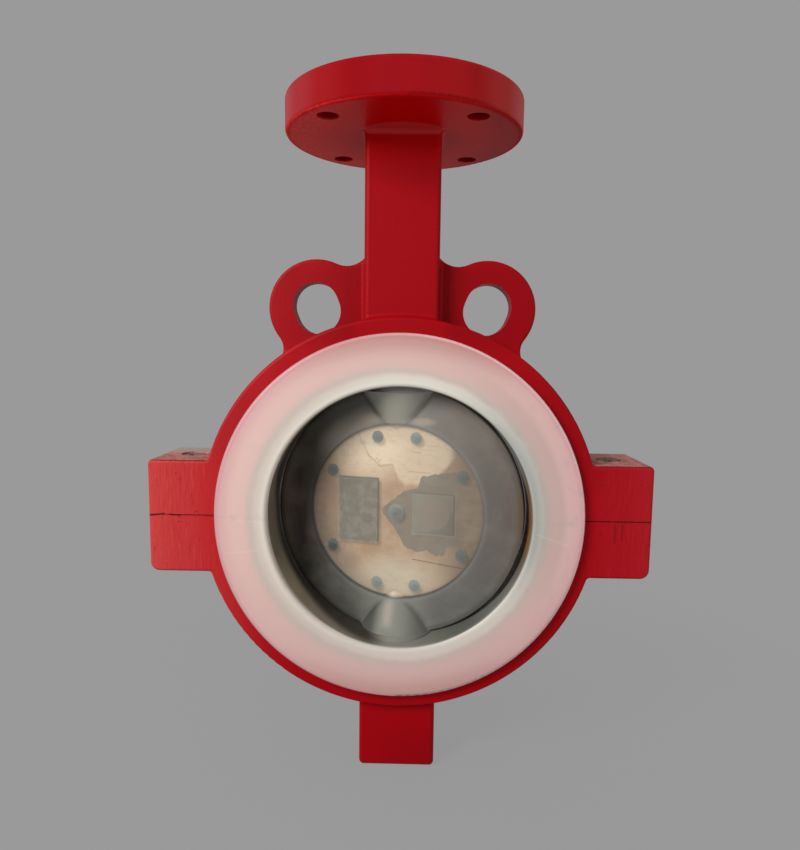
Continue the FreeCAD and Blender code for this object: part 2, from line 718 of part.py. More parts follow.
def port_profile():
    """Half the section of the pad, boss and collar round the upper shaft port."""
    return [
        ("collar_bore_radius", "port_pad_face"),
        ("port_pad_radius", "port_pad_face"),
        ("port_pad_radius", "port_root"),
        ("port_boss_radius", "port_root"),
        ("port_boss_radius", "port_boss_end"),
        ("collar_radius", "port_boss_end"),
        ("collar_radius", "collar_end"),
        ("collar_bore_radius", "collar_end"),
    ]


def liner_profile():
    """Section of the liner's tube and flares on one side of the pipe axis."""
    bore, face, flare = "liner_bore_radius", "liner_face", "flare_radius"
    points = [
        (bore, "liner_face - lip_round"),
        ("liner_bore_radius + lip_round", face),
        ("flare_radius - flare_edge_round", face),
        (flare, "liner_face - flare_edge_round"),
        (flare, "ring_half_width"),
        ("ring_bore_radius", "ring_half_width"),
        ("ring_bore_radius", "backing_half_width"),
        ("liner_back_radius", "backing_half_width"),
    ]
    arcs = {0: "-lip_round", 2: "-flare_edge_round"}
    return points, arcs


def make_seat_liner():
    """Moulded liner: a tube with a flare on each face and a collar round each shaft port."""
    body = new_body("seat_liner")
    points, arcs = liner_profile()
    back_points, back_arcs = turned_down(points, arcs)
    arcs.update({len(points) + index: radius for index, radius in back_arcs.items()})
    sketch = new_sketch(body, "XY_Plane")
    add_outline(sketch, points + back_points, arcs)
    spin(body, sketch)
    port = port_profile()
    for outline in ((port, {}), turned_down(port)):
        sketch = new_sketch(body, "XZ_Plane")
        add_outline(sketch, *outline)
        spin(body, sketch)
    sketch = new_sketch(body, "XY_Plane")
    add_circle(sketch, "0", "0", "collar_bore_radius")
    pocket(body, sketch)
    return body


def make_backing_segments():
    """Two elastomer half rings behind the liner, one each side of the port bosses."""
    body = new_body("backing_segments")
    sketch = new_sketch(body, "XY_Plane")
    add_outline(sketch, box_points("liner_back_radius", "ring_bore_radius",
                                   negative("backing_half_width"), "backing_half_width"))
    spin(body, sketch)
    sketch = new_sketch(body, "XY_Plane")
    add_circle(sketch, "0", "0", "port_boss_radius")
    pocket(body, sketch)
    return body


# Disc and shaft

def stand_open(body):
    """Turn a body about the shaft, its right side forwards, by the disc's opening at rest."""
    shaft = FreeCAD.Vector(0, 0, -1)
    body.Placement = FreeCAD.Placement(FreeCAD.Vector(), FreeCAD.Rotation(shaft, number("disc_opening")))
    body.setExpression("Placement.Rotation.Angle", bound("disc_opening"))


def plate_profile(half, shoulder, slope_radius, slope_height, edge_radius, edge_height):
    """Half the section of a round plate with a flat middle, a slope and a narrow rim."""
    upper = [(edge_radius, edge_height), (slope_radius, slope_height), (shoulder, half), ("0", half)]
    lower, _ = turned_down(upper)
    return lower + upper


def add_disc_plate(body, points, rim_arc=None):
    """Turn the plate round the pipe axis, with its rim rounded about the middle if asked."""
    sketch = new_sketch(body, "XY_Plane")
    arcs = {len(points) // 2 - 1: rim_arc} if rim_arc else {}
    add_outline(sketch, points, arcs)
    spin(body, sketch)


def cut_port_seats(body):
    """Trim the plate's rim flat where it runs on the liner's pads."""
    reach = "port_pad_radius + hub_clearance"
    points = box_points("0", reach, "hub_face", "disc_radius")
    for outline in ((points, {}), turned_down(points)):
        sketch = new_sketch(body, "XZ_Plane")
        add_outline(sketch, *outline)
        groove(body, sketch)


def add_hubs(body, end_radius, root_radius, face):
    """A cone towards each end of the shaft, narrow at the disc's middle."""
    points = [
        ("0", "0"),
        (root_radius, "0"),
        (root_radius, "hub_root_height"),
        (end_radius, face),
        ("0", face),
    ]
    for outline in ((points, {}), turned_down(points)):
        sketch = new_sketch(body, "XZ_Plane")
        add_outline(sketch, *outline)
        spin(body, sketch)


def add_shaft(body):
    """The shaft: thinner where the skin covers it."""
    thin, full = "covered_shaft_radius", "shaft_radius"
    sketch = new_sketch(body, "XZ_Plane")
    add_outline(sketch, [
        ("0", negative("shaft_end")),
        ("shaft_radius - shaft_chamfer", negative("shaft_end")),
        (full, negative("shaft_end - shaft_chamfer")),
        (full, negative("shaft_skin_end")),
        (thin, negative("shaft_skin_end")),
        (thin, "shaft_skin_end"),
        (full, "shaft_skin_end"),
        (full, "shaft_top - shaft_chamfer"),
        ("shaft_radius - shaft_chamfer", "shaft_top"),
        ("0", "shaft_top"),
    ])
    spin(body, sketch)


def cut_shaft_square(body):
    """The flats of the driving square, and the line that shows how the disc stands."""
    sketch = new_sketch(body, "XY_Plane", lift="square_start")
    outer, half = "2 * shaft_radius", "shaft_square / 2"
    add_outline(sketch, box_points(negative(outer), outer, negative(outer), outer))
    add_outline(sketch, box_points(negative(half), half, negative(half), half))
    pocket(body, sketch, "shaft_rise", upwards=True)
    sketch = new_sketch(body, "XY_Plane", lift="shaft_top")
    line = "shaft_mark_width / 2"
    add_outline(sketch, box_points(negative(outer), outer, negative(line), line))
    pocket(body, sketch, "shaft_mark_depth")


def cut_disc_marks(body):
    """The locating dimples and shallow recesses in the disc's front face."""
    sketch = new_sketch(body, "XZ_Plane", lift="core_half_thickness")
    for angle in ("dimple_near_angle", "dimple_far_angle"):
        for x in ("", "0 - "):
            for z in ("", "0 - "):
                add_circle(sketch, "%sdimple_circle_radius * sin(%s)" % (x, angle),
                           "%sdimple_circle_radius * cos(%s)" % (z, angle), "dimple_radius")
    add_circle(sketch, "0", "0", "centre_dimple_radius")
    pocket(body, sketch, "dimple_depth")
    sketch = new_sketch(body, "XZ_Plane", lift="core_half_thickness")
    add_outline(sketch, box_points(negative("panel_far"), negative("panel_near"),
                                   negative("panel_half_height"), "panel_half_height"))
    add_outline(sketch, box_points("seat_middle - seat_half_width", "seat_middle + seat_half_width",
                                   negative("seat_half_width"), "seat_half_width"))
    add_circle(sketch, "seat_middle", "0", "seat_boss_radius")
    pocket(body, sketch, "recess_depth")


def make_disc_stem():
    """Metal core: the disc, its hubs and the shaft in one piece."""
    body = new_body("disc_stem")
    edge, rim = "core_slope_end_radius + core_rim_half_width", "core_rim_half_width"
    points = plate_profile("core_half_thickness", "core_shoulder_radius", "core_slope_end_radius",
                           "core_slope_end_height", edge, rim)
    add_disc_plate(body, points)
    add_hubs(body, "core_hub_end_radius", "core_hub_root_radius", "core_hub_face")
    add_shaft(body)
    cut_disc_marks(body)
    cut_shaft_square(body)
    stand_open(body)
    return body


def make_disc_lining(core):
    """The skin moulded round the core: its outer form less the core itself."""
    blank = new_body("lining_blank")
    points = plate_profile("disc_half_thickness", "disc_shoulder_radius", "disc_slope_end_radius",
                           "disc_slope_end_height", "disc_rim_edge_radius", "disc_rim_half_width")
    add_disc_plate(blank, points, "disc_radius")
    cut_port_seats(blank)
    add_hubs(blank, "hub_end_radius", "hub_root_radius", "hub_face")
    sketch = new_sketch(blank, "XY_Plane", lift=negative("shaft_skin_end"))
    add_circle(sketch, "0", "0", "shaft_radius")
    pad(blank, sketch, "2 * shaft_skin_end")
    stand_open(blank)
    lining = doc.addObject("Part::Cut", "disc_lining_cut")
    lining.Base = blank
    lining.Tool = core
    lining.Label = "disc_lining"
    return lining


# Rings, springs and bushes round the shaft

def make_pressure_ring():
    """Ring that presses the liner onto a hub, relieved for the collar seal."""
    seal = "collar_radius + 2 * collar_seal_radius"
    shelf = "port_boss_end + 2 * collar_seal_radius"
    return turned_ring("upper_pressure_ring", [
        (seal, "port_boss_end"),
        ("port_boss_radius", "port_boss_end"),
        ("port_boss_radius", "pressure_ring_end"),
        ("spring_bore_radius", "pressure_ring_end"),
        ("spring_bore_radius", shelf),
        (seal, shelf),
    ])


def make_disc_spring():
    """Cone washer that stands on the pressure ring."""
    low, high = "pressure_ring_end", "pressure_ring_end + spring_rise"
    return turned_ring("spring", [
        ("port_boss_radius", low),
        ("port_boss_radius", low + " + spring_thickness"),
        ("spring_bore_radius", high + " + spring_thickness"),
        ("spring_bore_radius", high),
    ])


def make_torus(name, ring_radius, section_radius, level):
    """An O-ring round the shaft axis."""
    ring = doc.addObject("Part::Torus", name + "_torus")
    ring.setExpression("Radius1", bound(ring_radius))
    ring.setExpression("Radius2", bound(section_radius))
    ring.setExpression("Placement.Base.z", bound(level))
    ring.Label = name
    return ring


def make_mirror(source, name, normal, level="0"):
    """A mirrored copy of a piece across a plane at a level along its normal."""
    copy = doc.addObject("Part::Mirroring", name + "_mirror")
    copy.Source = source
    copy.Normal = normal
    copy.setExpression("Base.z", bound(level))
    copy.Label = name
    return copy


def make_group(name, members):
    """Several separate solids under one name."""
    group = doc.addObject("Part::Compound", name + "_group")
    group.Links = members
    group.Label = name
    return group


def make_bush(name, start, length):
    """A plain bearing for the shaft."""
    return turned_ring(name, [
        ("collar_bore_radius", start),
        ("bush_radius", start),
        ("bush_radius", "%s + %s" % (start, length)),
        ("collar_bore_radius", "%s + %s" % (start, length)),
    ])


def make_thrust_washer():
    """The pad under the shaft's lower end."""
    return turned_ring("thrust_washer", *turned_down([
        ("0", "washer_start"),
        ("bush_radius", "washer_start"),
        ("bush_radius", "shaft_bore_end"),
        ("0", "shaft_bore_end"),
    ]))


# Shaft seal in the flange

def chevron(level):
    """Section of one packing ring, with its point upwards."""
    inner, middle, outer = "collar_bore_radius", "packing_middle_radius", "gland_radius"
    return [
        (inner, level),
        (middle, level + " + chevron_rise"),
        (outer, level),
        (outer, level + " + chevron_thickness"),
        (middle, level + " + chevron_rise + chevron_thickness"),
        (inner, level + " + chevron_thickness"),
    ]


def make_packing_base_ring():
    """Ring with a raised edge that the packing sits on."""
    return turned_ring("packing_base_ring", [
        ("collar_bore_radius", "packing_floor"),
        ("gland_radius", "packing_floor"),
        ("gland_radius", "packing_start"),
        ("packing_middle_radius", "packing_start + chevron_rise"),
        ("collar_bore_radius", "packing_start"),
    ])


def make_stem_packing():
    """The nested packing rings."""
    rings = []
    for count in range(int(number("packing_ring_count"))):
        level = "packing_start + %d * packing_pitch" % count
        rings.append(turned_ring("packing_ring_%d" % (count + 1), chevron(level)))
    return make_group("stem_packing", rings)


def make_gland_ring():
    """Ring that holds the packing down, with an O-ring groove inside and outside."""
    inner = "collar_bore_radius + gland_clearance"
    low = "gland_seal_level - gland_groove_half_width"
    high = "gland_seal_level + gland_groove_half_width"
    inside = "collar_bore_radius + 2 * gland_seal_radius"
    outside = "gland_radius - 2 * gland_seal_radius"
    share = "chevron_rise * gland_clearance / (packing_middle_radius - collar_bore_radius)"
    return turned_ring("gland_ring", [
        (inner, "gland_start + " + share),
        ("packing_middle_radius", "gland_start + chevron_rise"),
        ("gland_radius", "gland_start"),
        ("gland_radius", low),
        (outside, low),
        (outside, high),
        ("gland_radius", high),
        ("gland_radius", "clip_start"),
        (inner, "clip_start"),
        (inner, high),
        (inside, high),
        (inside, low),
        (inner, low),
    ])


def make_retaining_ring():
    """Sprung ring with two pierced ears, open on the right."""
    body = new_body("retaining_ring")
    outer = "gland_radius + clip_groove_depth"
    sketch = new_sketch(body, "XZ_Plane")
    add_outline(sketch, box_points("clip_inner_radius", outer, "clip_start", "clip_end"))
    ring = spin(body, sketch)
    ring.setExpression("Angle", bound("360 - clip_gap_angle"))
    for turn in ("0", "0 - clip_gap_angle"):
        sketch = new_sketch(body, "XY_Plane", lift="clip_start")
        reach = "(clip_inner_radius + clip_ear_radius / 2)"
        place = ("%s * cos(%s)" % (reach, turn), "%s * sin(%s)" % (reach, turn))
        add_circle(sketch, *place, "clip_ear_radius")
        add_circle(sketch, *place, "clip_ear_hole_radius")
        pad(body, sketch, "clip_thickness")
    return body


# Clamp screws

def make_screw():
    """Socket head cap screw in the right-hand lug."""
    body = new_body("screw")
    sketch = new_sketch(body, "XZ_Plane", shift="screw_reach")
    tip = "parting_gap / 2 + screw_grip"
    add_outline(sketch, [
        ("0", negative(tip)),
        ("screw_radius - shaft_chamfer", negative(tip)),
        ("screw_radius", negative(tip + " - shaft_chamfer")),
        ("screw_radius", "head_seat"),
        ("screw_head_radius", "head_seat"),
        ("screw_head_radius", "head_seat + screw_head_height - shaft_chamfer / 2"),
        ("screw_head_radius - shaft_chamfer / 2", "head_seat + screw_head_height"),
        ("0", "head_seat + screw_head_height"),
    ])
    spin(body, sketch)
    sketch = new_sketch(body, "XY_Plane", lift="head_seat + screw_head_height", shift="screw_reach")
    corners = [("screw_socket_radius * cos(%d)" % (60 * count),
                "screw_socket_radius * sin(%d)" % (60 * count)) for count in range(6)]
    add_outline(sketch, corners)
    pocket(body, sketch, "screw_socket_depth")
    return body


def make_pieces():
    """All the valve's pieces, in the order they are fitted."""
    core = make_disc_stem()
    spring = make_disc_spring()
    spring_level = "pressure_ring_end + spring_height + stack_gap / 2"
    spring_top = make_mirror(spring, "spring_top", (0, 0, 1), spring_level)
    upper_springs = make_group("upper_disc_springs", [spring, spring_top])
    upper_pressure_ring = make_pressure_ring()
    collar_seal_level = "port_boss_end + collar_seal_radius"
    collar_seal = ("collar_radius + collar_seal_radius", "collar_seal_radius")
    screw = make_screw()
    gland_seal = "gland_seal_radius"
    return [
        make_upper_body(),
        make_lower_body(),
        make_group("body_screws", [screw, make_mirror(screw, "left_screw", (1, 0, 0))]),
        make_seat_liner(),
        make_backing_segments(),
        upper_pressure_ring,
        make_mirror(upper_pressure_ring, "lower_pressure_ring", (0, 0, 1)),
        make_torus("upper_collar_ring", *collar_seal, collar_seal_level),
        make_torus("lower_collar_ring", *collar_seal, negative(collar_seal_level)),
        upper_springs,
        make_mirror(upper_springs, "lower_disc_springs", (0, 0, 1)),
        make_bush("neck_lower_bush", "neck_bush_start", "neck_bush_length"),
        make_bush("neck_upper_bush", "packing_floor - neck_bush_length", "neck_bush_length"),
        make_bush("lower_bush", negative("neck_bush_start + lower_bush_length"), "lower_bush_length"),
        make_thrust_washer(),
        make_packing_base_ring(),
        make_stem_packing(),
        make_gland_ring(),
        make_torus("gland_inner_ring", "collar_bore_radius + gland_seal_radius", gland_seal,
                   "gland_seal_level"),
        make_torus("gland_outer_ring", "gland_radius - gland_seal_radius", gland_seal,
                   "gland_seal_level"),
        make_retaining_ring(),
        core,
        make_disc_lining(core),
    ]


def check_document():
    """Stop if any object of the document failed."""
    for item in doc.Objects:
        if "Invalid" in item.State or "Error" in item.State:
            raise RuntimeError("%s failed: %s" % (item.Label, item.State))


def check_piece(piece):
    """Stop if a piece's shape is missing or not a sound solid."""
    shape = piece.Shape
    if shape.isNull() or not shape.isValid() or not shape.Solids:
        raise RuntimeError("%s has no sound solid" % piece.Label)


pieces = make_pieces()
doc.recompute()
check_document()
for piece in pieces:
    check_piece(piece)
os.makedirs("parts", exist_ok=True)
for piece in pieces:
    piece.Shape.exportStep(os.path.join("parts", piece.Label + ".step"))
    print("%-22s %2d solid(s) %12.1f mm3" % (piece.Label, len(piece.Shape.Solids), piece.Shape.Volume))
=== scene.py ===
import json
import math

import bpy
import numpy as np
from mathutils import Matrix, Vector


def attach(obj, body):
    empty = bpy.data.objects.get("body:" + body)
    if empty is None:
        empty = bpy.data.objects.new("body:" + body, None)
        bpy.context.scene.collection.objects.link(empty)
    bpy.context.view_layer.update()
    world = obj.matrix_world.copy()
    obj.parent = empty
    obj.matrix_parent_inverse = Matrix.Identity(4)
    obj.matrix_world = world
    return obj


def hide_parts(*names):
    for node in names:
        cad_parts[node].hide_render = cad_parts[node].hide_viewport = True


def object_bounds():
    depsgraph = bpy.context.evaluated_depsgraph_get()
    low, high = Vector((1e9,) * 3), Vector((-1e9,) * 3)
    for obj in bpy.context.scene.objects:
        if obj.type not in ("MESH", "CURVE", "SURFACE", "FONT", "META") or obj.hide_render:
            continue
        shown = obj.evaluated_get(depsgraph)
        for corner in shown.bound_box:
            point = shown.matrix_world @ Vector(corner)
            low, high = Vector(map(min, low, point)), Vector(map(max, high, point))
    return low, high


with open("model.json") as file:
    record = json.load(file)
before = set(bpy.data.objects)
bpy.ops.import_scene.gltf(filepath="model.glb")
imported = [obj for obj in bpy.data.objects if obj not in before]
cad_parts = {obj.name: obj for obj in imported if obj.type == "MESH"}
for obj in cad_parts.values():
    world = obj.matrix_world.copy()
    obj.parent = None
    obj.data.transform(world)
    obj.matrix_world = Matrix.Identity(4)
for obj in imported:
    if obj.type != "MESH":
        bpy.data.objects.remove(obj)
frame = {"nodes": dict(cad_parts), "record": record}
cad_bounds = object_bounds()

# %% [markdown]
# The valve comes in as finished solids, already in place: two red castings, a milky plastic liner
# and a coated disc on a shaft. This lesson gives them their looks: a camera and a light like the
# photograph's, thick brushed paint, a liner that lets the red behind it show through, and a
# see-through skin over the metal disc.

MM = 0.001
nodes = frame["nodes"]


# %% [markdown]
# The camera was found by matching known sizes to where they lie in the photograph. It stands a
# little right of the middle, above the bore's centre, and looks slightly down. The three turns
# are small, so they are easier to read as angles than as a matrix.

# %% The camera
IMAGE_LONG_SIDE = 850
FOCAL_LENGTH = 662.45
SENSOR = 36.0
CAMERA_PLACE = (6.67 * MM, -367.5 * MM, 88.43 * MM)
LOOK_DOWN, LOOK_ASIDE, LEAN = 6.390, 1.088, 0.818


def camera_turn(down, aside, lean):
    """Camera axes in the world: start level along +Y, then turn down, aside and lean by degrees."""
    level = Matrix(((1, 0, 0), (0, 0, -1), (0, 1, 0)))
    flip = Matrix(((1, 0, 0), (0, -1, 0), (0, 0, -1)))
    turns = (Matrix.Rotation(math.radians(lean), 3, "Z") @ Matrix.Rotation(math.radians(aside), 3, "Y")
             @ Matrix.Rotation(math.radians(down), 3, "X"))
    return (flip @ turns @ level).transposed()


camera = bpy.data.objects.new("camera", bpy.data.cameras.new("camera"))
camera.data.sensor_width = SENSOR
camera.data.lens = FOCAL_LENGTH * SENSOR / IMAGE_LONG_SIDE
camera.data.clip_start = 0.01
camera.matrix_world = Matrix.Translation(CAMERA_PLACE) @ camera_turn(LOOK_DOWN, LOOK_ASIDE, LEAN).to_4x4()
bpy.context.scene.collection.objects.link(camera)
bpy.context.scene.camera = camera
bpy.context.scene.view_settings.view_transform = "Standard"
print("lens: %.2f mm" % camera.data.lens)


# %% [markdown]
# Node materials get long when every node is placed by hand. This small class keeps them short:
# it holds one material, works in millimetres of object space, and each method adds one idea, such
# as a sum, a smooth step, a noise or a mix of two colours.

# %% A helper for node materials
def srgb(red, green, blue):
    """Screen colour from 0 to 255 as linear light: the sRGB curve undone, with alpha 1."""
    share = np.array([red, green, blue]) / 255.0
    linear = np.where(share <= 0.04045, share / 12.92, ((share + 0.055) / 1.055) ** 2.4)
    return (*linear.tolist(), 1.0)


class Finish:
    """One material under construction; lengths are millimetres in object space."""

    def __init__(self, name, turn=0.0):
        self.material = bpy.data.materials.new(name)
        self.material.use_nodes = True
        self.tree = self.material.node_tree
        self.shader = self.tree.nodes["Principled BSDF"]
        place = self.add("ShaderNodeTexCoord").outputs["Object"]
        inputs = {"Vector": place, "Rotation": (0, 0, math.radians(turn)), "Scale": (1 / MM,) * 3}
        self.place = self.add("ShaderNodeMapping", inputs).outputs[0]
        self.x, self.y, self.z = self.add("ShaderNodeSeparateXYZ", {0: self.place}).outputs

    def add(self, kind, inputs=None, **settings):
        """Add a node and fill its inputs: links, numbers, or colours as screen values from 0 to 255."""
        node = self.tree.nodes.new(kind)
        for name, value in settings.items():
            setattr(node, name, value)
        for key, value in (inputs or {}).items():
            self.fill(node.inputs[key], value)
        return node

    def fill(self, socket, value):
        """Link another node's output to a socket, or set its value; three numbers are a screen colour."""
        if isinstance(value, bpy.types.NodeSocket):
            self.tree.links.new(value, socket)
        else:
            screen_colour = socket.type == "RGBA" and len(value) == 3
            socket.default_value = srgb(*value) if screen_colour else value

    def calc(self, operation, *values):
        """One step of arithmetic on one, two or three values."""
        return self.add("ShaderNodeMath", dict(enumerate(values)), operation=operation).outputs[0]

    def chain(self, operation, result, *others):
        """One kind of arithmetic carried along several values."""
        for other in others:
            result = self.calc(operation, result, other)
        return result

    def both(self, *values):
        """Product of values, or of masks: 1 only where all of them are."""
        return self.chain("MULTIPLY", *values)

    def either(self, *values):
        """Largest of several values or masks."""
        return self.chain("MAXIMUM", *values)

    def plus(self, *values):
        """Sum of values."""
        return self.chain("ADD", *values)

    def less(self, first, second):
        """First value less the second."""
        return self.calc("SUBTRACT", first, second)

    def size(self, value):
        """Value without its sign."""
        return self.calc("ABSOLUTE", value)

    def ease(self, value, low, high):
        """Smooth step: 0 below low, 1 above high; the other way round if low is the larger."""
        inputs = {"Value": value, "From Min": low, "From Max": high}
        return self.add("ShaderNodeMapRange", inputs, interpolation_type="SMOOTHSTEP").outputs[0]

    def scaled(self, value, low, high, first, last):
        """Straight line from first at low to last at high, held level beyond them."""
        inputs = {"Value": value, "From Min": low, "From Max": high, "To Min": first, "To Max": last}
        return self.add("ShaderNodeMapRange", inputs).outputs[0]

    def length(self, *values):
        """Root of the sum of squares of two values."""
        first, second = (self.both(value, value) for value in values)
        return self.calc("SQRT", self.plus(first, second))

    def away(self, value, middle):
        """Distance of a value from a middle value."""
        return self.size(self.less(value, middle))

    def noise(self, size, detail=3.0, stretch=(1, 1, 1), roughness=0.55, shift=0.0, warp=0.0):
        """Soft noise from 0 to 1 with blotches about size across, drawn out by stretch, bent by warp."""
        steps = tuple(1.0 / (size * pull) for pull in stretch)
        place = self.add("ShaderNodeVectorMath", {0: self.place, 1: steps, 2: (shift,) * 3},
                         operation="MULTIPLY_ADD").outputs[0]
        inputs = {"Vector": place, "Scale": 1.0, "Detail": detail, "Roughness": roughness, "Distortion": warp}
        return self.add("ShaderNodeTexNoise", inputs).outputs["Fac"]

    def ragged(self, size, reach, detail=5.0, shift=0.0):
        """Noise that wavers about zero, for edges that should not run straight."""
        even = self.less(self.noise(size, detail=detail, shift=shift), 0.5)
        return self.both(even, 2.0 * reach)

    def specks(self, spacing, radius):
        """Small round spots: 1 within the radius of random points about spacing apart."""
        inputs = {"Vector": self.place, "Scale": 1.0 / spacing}
        far = self.add("ShaderNodeTexVoronoi", inputs).outputs["Distance"]
        return self.ease(far, radius / spacing, 0.5 * radius / spacing)

    def mix(self, share, first, second):
        """Colour that goes from first to second as the share goes from 0 to 1."""
        return self.add("ShaderNodeMix", {0: share, 6: first, 7: second}, data_type="RGBA").outputs[2]

    def wash(self, colour, mask, share, tone):
        """Colour with a tone laid over it where the mask is 1, as thick as the share."""
        return self.mix(self.both(mask, share), colour, tone)

    def layers(self, colour, steps):
        """Colour under several washes, each given as (mask, share, tone), laid on in turn."""
        for mask, share, tone in steps:
            colour = self.wash(colour, mask, share, tone)
        return colour

    def spot(self, x, z, middle, halves, soft=0.2):
        """Soft-edged ellipse round a middle point, with two half widths."""
        far = self.length(self.calc("DIVIDE", self.less(x, middle[0]), halves[0]),
                          self.calc("DIVIDE", self.less(z, middle[1]), halves[1]))
        return self.ease(far, 1.0 + soft, 1.0 - soft)

    def line(self, x, z, first, last, half_width):
        """Thin straight mark between two points, faded at its ends."""
        way = np.subtract(last, first)
        reach = float(np.hypot(*way))
        right, up = (way / reach).tolist()
        from_x, from_z = self.less(x, first[0]), self.less(z, first[1])
        along = self.plus(self.both(from_x, right), self.both(from_z, up))
        across = self.less(self.both(from_z, right), self.both(from_x, up))
        return self.both(self.ease(self.size(across), half_width, 0.3 * half_width),
                         self.ease(along, 0.0, 1.0), self.ease(along, reach, reach - 1.0))

    def outline(self, value, points, reach=70.0):
        """Height read along a value from (place, height) points joined by straight lines."""
        stops = [((place + reach) / (2 * reach), ((height + reach) / (2 * reach),) * 3 + (1.0,))
                 for place, height in points]
        shade = self.ramp(self.scaled(value, -reach, reach, 0.0, 1.0), stops, "LINEAR")
        return self.scaled(shade, 0.0, 1.0, -reach, reach)

    def ramp(self, value, stops, kind="EASE"):
        """Colour read from (place, colour) stops, eased or straight between them."""
        node = self.add("ShaderNodeValToRGB", {0: value})
        node.color_ramp.interpolation = kind
        elements = node.color_ramp.elements
        while len(elements) < len(stops):
            elements.new(0.5)
        for element, (position, colour) in zip(elements, stops):
            element.position = position
        for element, (position, colour) in zip(elements, stops):
            element.color = colour
        return node.outputs[0]

    def tones(self, value, low, high, *stops):
        """Colour read between low and high from (share, red, green, blue) stops, eased between them."""
        share = self.scaled(value, low, high, 0.0, 1.0)
        return self.ramp(share, [(place, srgb(*colour)) for place, *colour in stops])

    def bump(self, height, depth):
        """Surface relief: height from 0 to 1 stands for depth millimetres."""
        return self.add("ShaderNodeBump", {"Height": height, "Distance": depth * MM}).outputs[0]

    def set(self, **inputs):
        """Fill the shader's own inputs; a word's underscores stand for spaces."""
        for name, value in inputs.items():
            self.fill(self.shader.inputs[name.replace("_", " ")], value)
        return self.material


print("dark red in linear light:", [round(value, 3) for value in srgb(150, 15, 22)])


# %% [markdown]
# The photograph was taken in soft light from the upper left, and its background is one flat grey.
# Here a large lamp on the left gives the light and its falloff to the right, and the world fills
# the shadows. The world looks grey only to the camera and in reflections. The floor is the same
# grey: near the valve it takes a little real light, so that it keeps a shadow, and further out it
# fades into the background.

# %% World, floor and lamps
BACKGROUND = srgb(154, 154, 155)
AMBIENT, AMBIENT_TINT = 0.42, (1.0, 0.985, 0.97, 1.0)
FLOOR_REACH = 6.0
FADE_START, FADE_END, LEAST_GLOW = 60, 420, 0.87
LAMPS = {"key_lamp": ((-0.62, -0.66, 0.52), 0.45, 9.5), "fill_lamp": ((0.75, -0.75, 0.25), 0.8, 1.6)}
floor_level = cad_bounds[0][2] - 0.2 * MM


def light_world():
    """World: ambient white for lighting, flat grey for camera, glossy and transmission rays."""
    world = bpy.data.worlds.new("studio")
    bpy.context.scene.world = world
    world.use_nodes = True
    tree = world.node_tree
    fill = tree.nodes["Background"]
    fill.inputs[0].default_value = AMBIENT_TINT
    fill.inputs[1].default_value = AMBIENT
    seen = tree.nodes.new("ShaderNodeBackground")
    seen.inputs[0].default_value = BACKGROUND
    rays = tree.nodes.new("ShaderNodeLightPath").outputs
    total = rays["Is Camera Ray"]
    for name in ("Is Glossy Ray", "Is Transmission Ray"):
        step = tree.nodes.new("ShaderNodeMath")
        step.use_clamp = True
        tree.links.new(total, step.inputs[0])
        tree.links.new(rays[name], step.inputs[1])
        total = step.outputs[0]
    switch = tree.nodes.new("ShaderNodeMixShader")
    for socket, source in zip(switch.inputs, (total, fill.outputs[0], seen.outputs[0])):
        tree.links.new(source, socket)
    tree.links.new(switch.outputs[0], tree.nodes["World Output"].inputs[0])


def make_floor():
    """A wide square floor whose own shading fades into the background's grey."""
    corners = [(-1, -1), (1, -1), (1, 1), (-1, 1)]
    mesh = bpy.data.meshes.new("floor")
    mesh.from_pydata([(x * FLOOR_REACH, y * FLOOR_REACH, floor_level) for x, y in corners], [],
                     [(0, 1, 2, 3)])
    floor = bpy.data.objects.new("floor", mesh)
    bpy.context.scene.collection.objects.link(floor)
    finish = Finish("pale_floor")
    finish.set(Base_Color=BACKGROUND, Roughness=0.9, Specular_IOR_Level=0.0)
    glow = finish.add("ShaderNodeEmission", {0: BACKGROUND, 1: 1.0}).outputs[0]
    share = finish.scaled(finish.length(finish.x, finish.y), FADE_START, FADE_END, LEAST_GLOW, 1.0)
    shaded = finish.add("ShaderNodeMixShader", {0: share, 1: finish.shader.outputs[0], 2: glow})
    finish.tree.links.new(shaded.outputs[0], finish.tree.nodes["Material Output"].inputs[0])
    mesh.materials.append(finish.material)


def add_lamp(name, place, size, power):
    """A square area lamp at a place in metres, turned towards the valve's middle."""
    data = bpy.data.lights.new(name, "AREA")
    data.size = size
    data.energy = power
    lamp = bpy.data.objects.new(name, data)
    lamp.location = place
    lamp.rotation_euler = (-lamp.location).to_track_quat("-Z", "Y").to_euler()
    bpy.context.scene.collection.objects.link(lamp)


light_world()
make_floor()
for name, (place, size, power) in LAMPS.items():
    add_lamp(name, place, size, power)
print("floor level: %.4f m, lamps: %d" % (floor_level, len(LAMPS)))


# %% [markdown]
# The castings carry thick red paint. Its colour depends on where a point lies, and much of it is
# painted light: pinker towards the lamp at the left, deep and pure below as painted shade, with a
# painted sheen on the flange's rim, and under the flange a mottled brick red painted light on a face
# that lies in shade. All of it is worked out from places on the casting, so the pattern stays put
# from every side.

# %% Red by place
RING_RADIUS, RING_FACE = 106.0, 23.3
LUG_INNER, LUG_TOP = 90, 29.5
FLANGE_UNDERSIDE, FLANGE_RADIUS = 200.0, 62.5


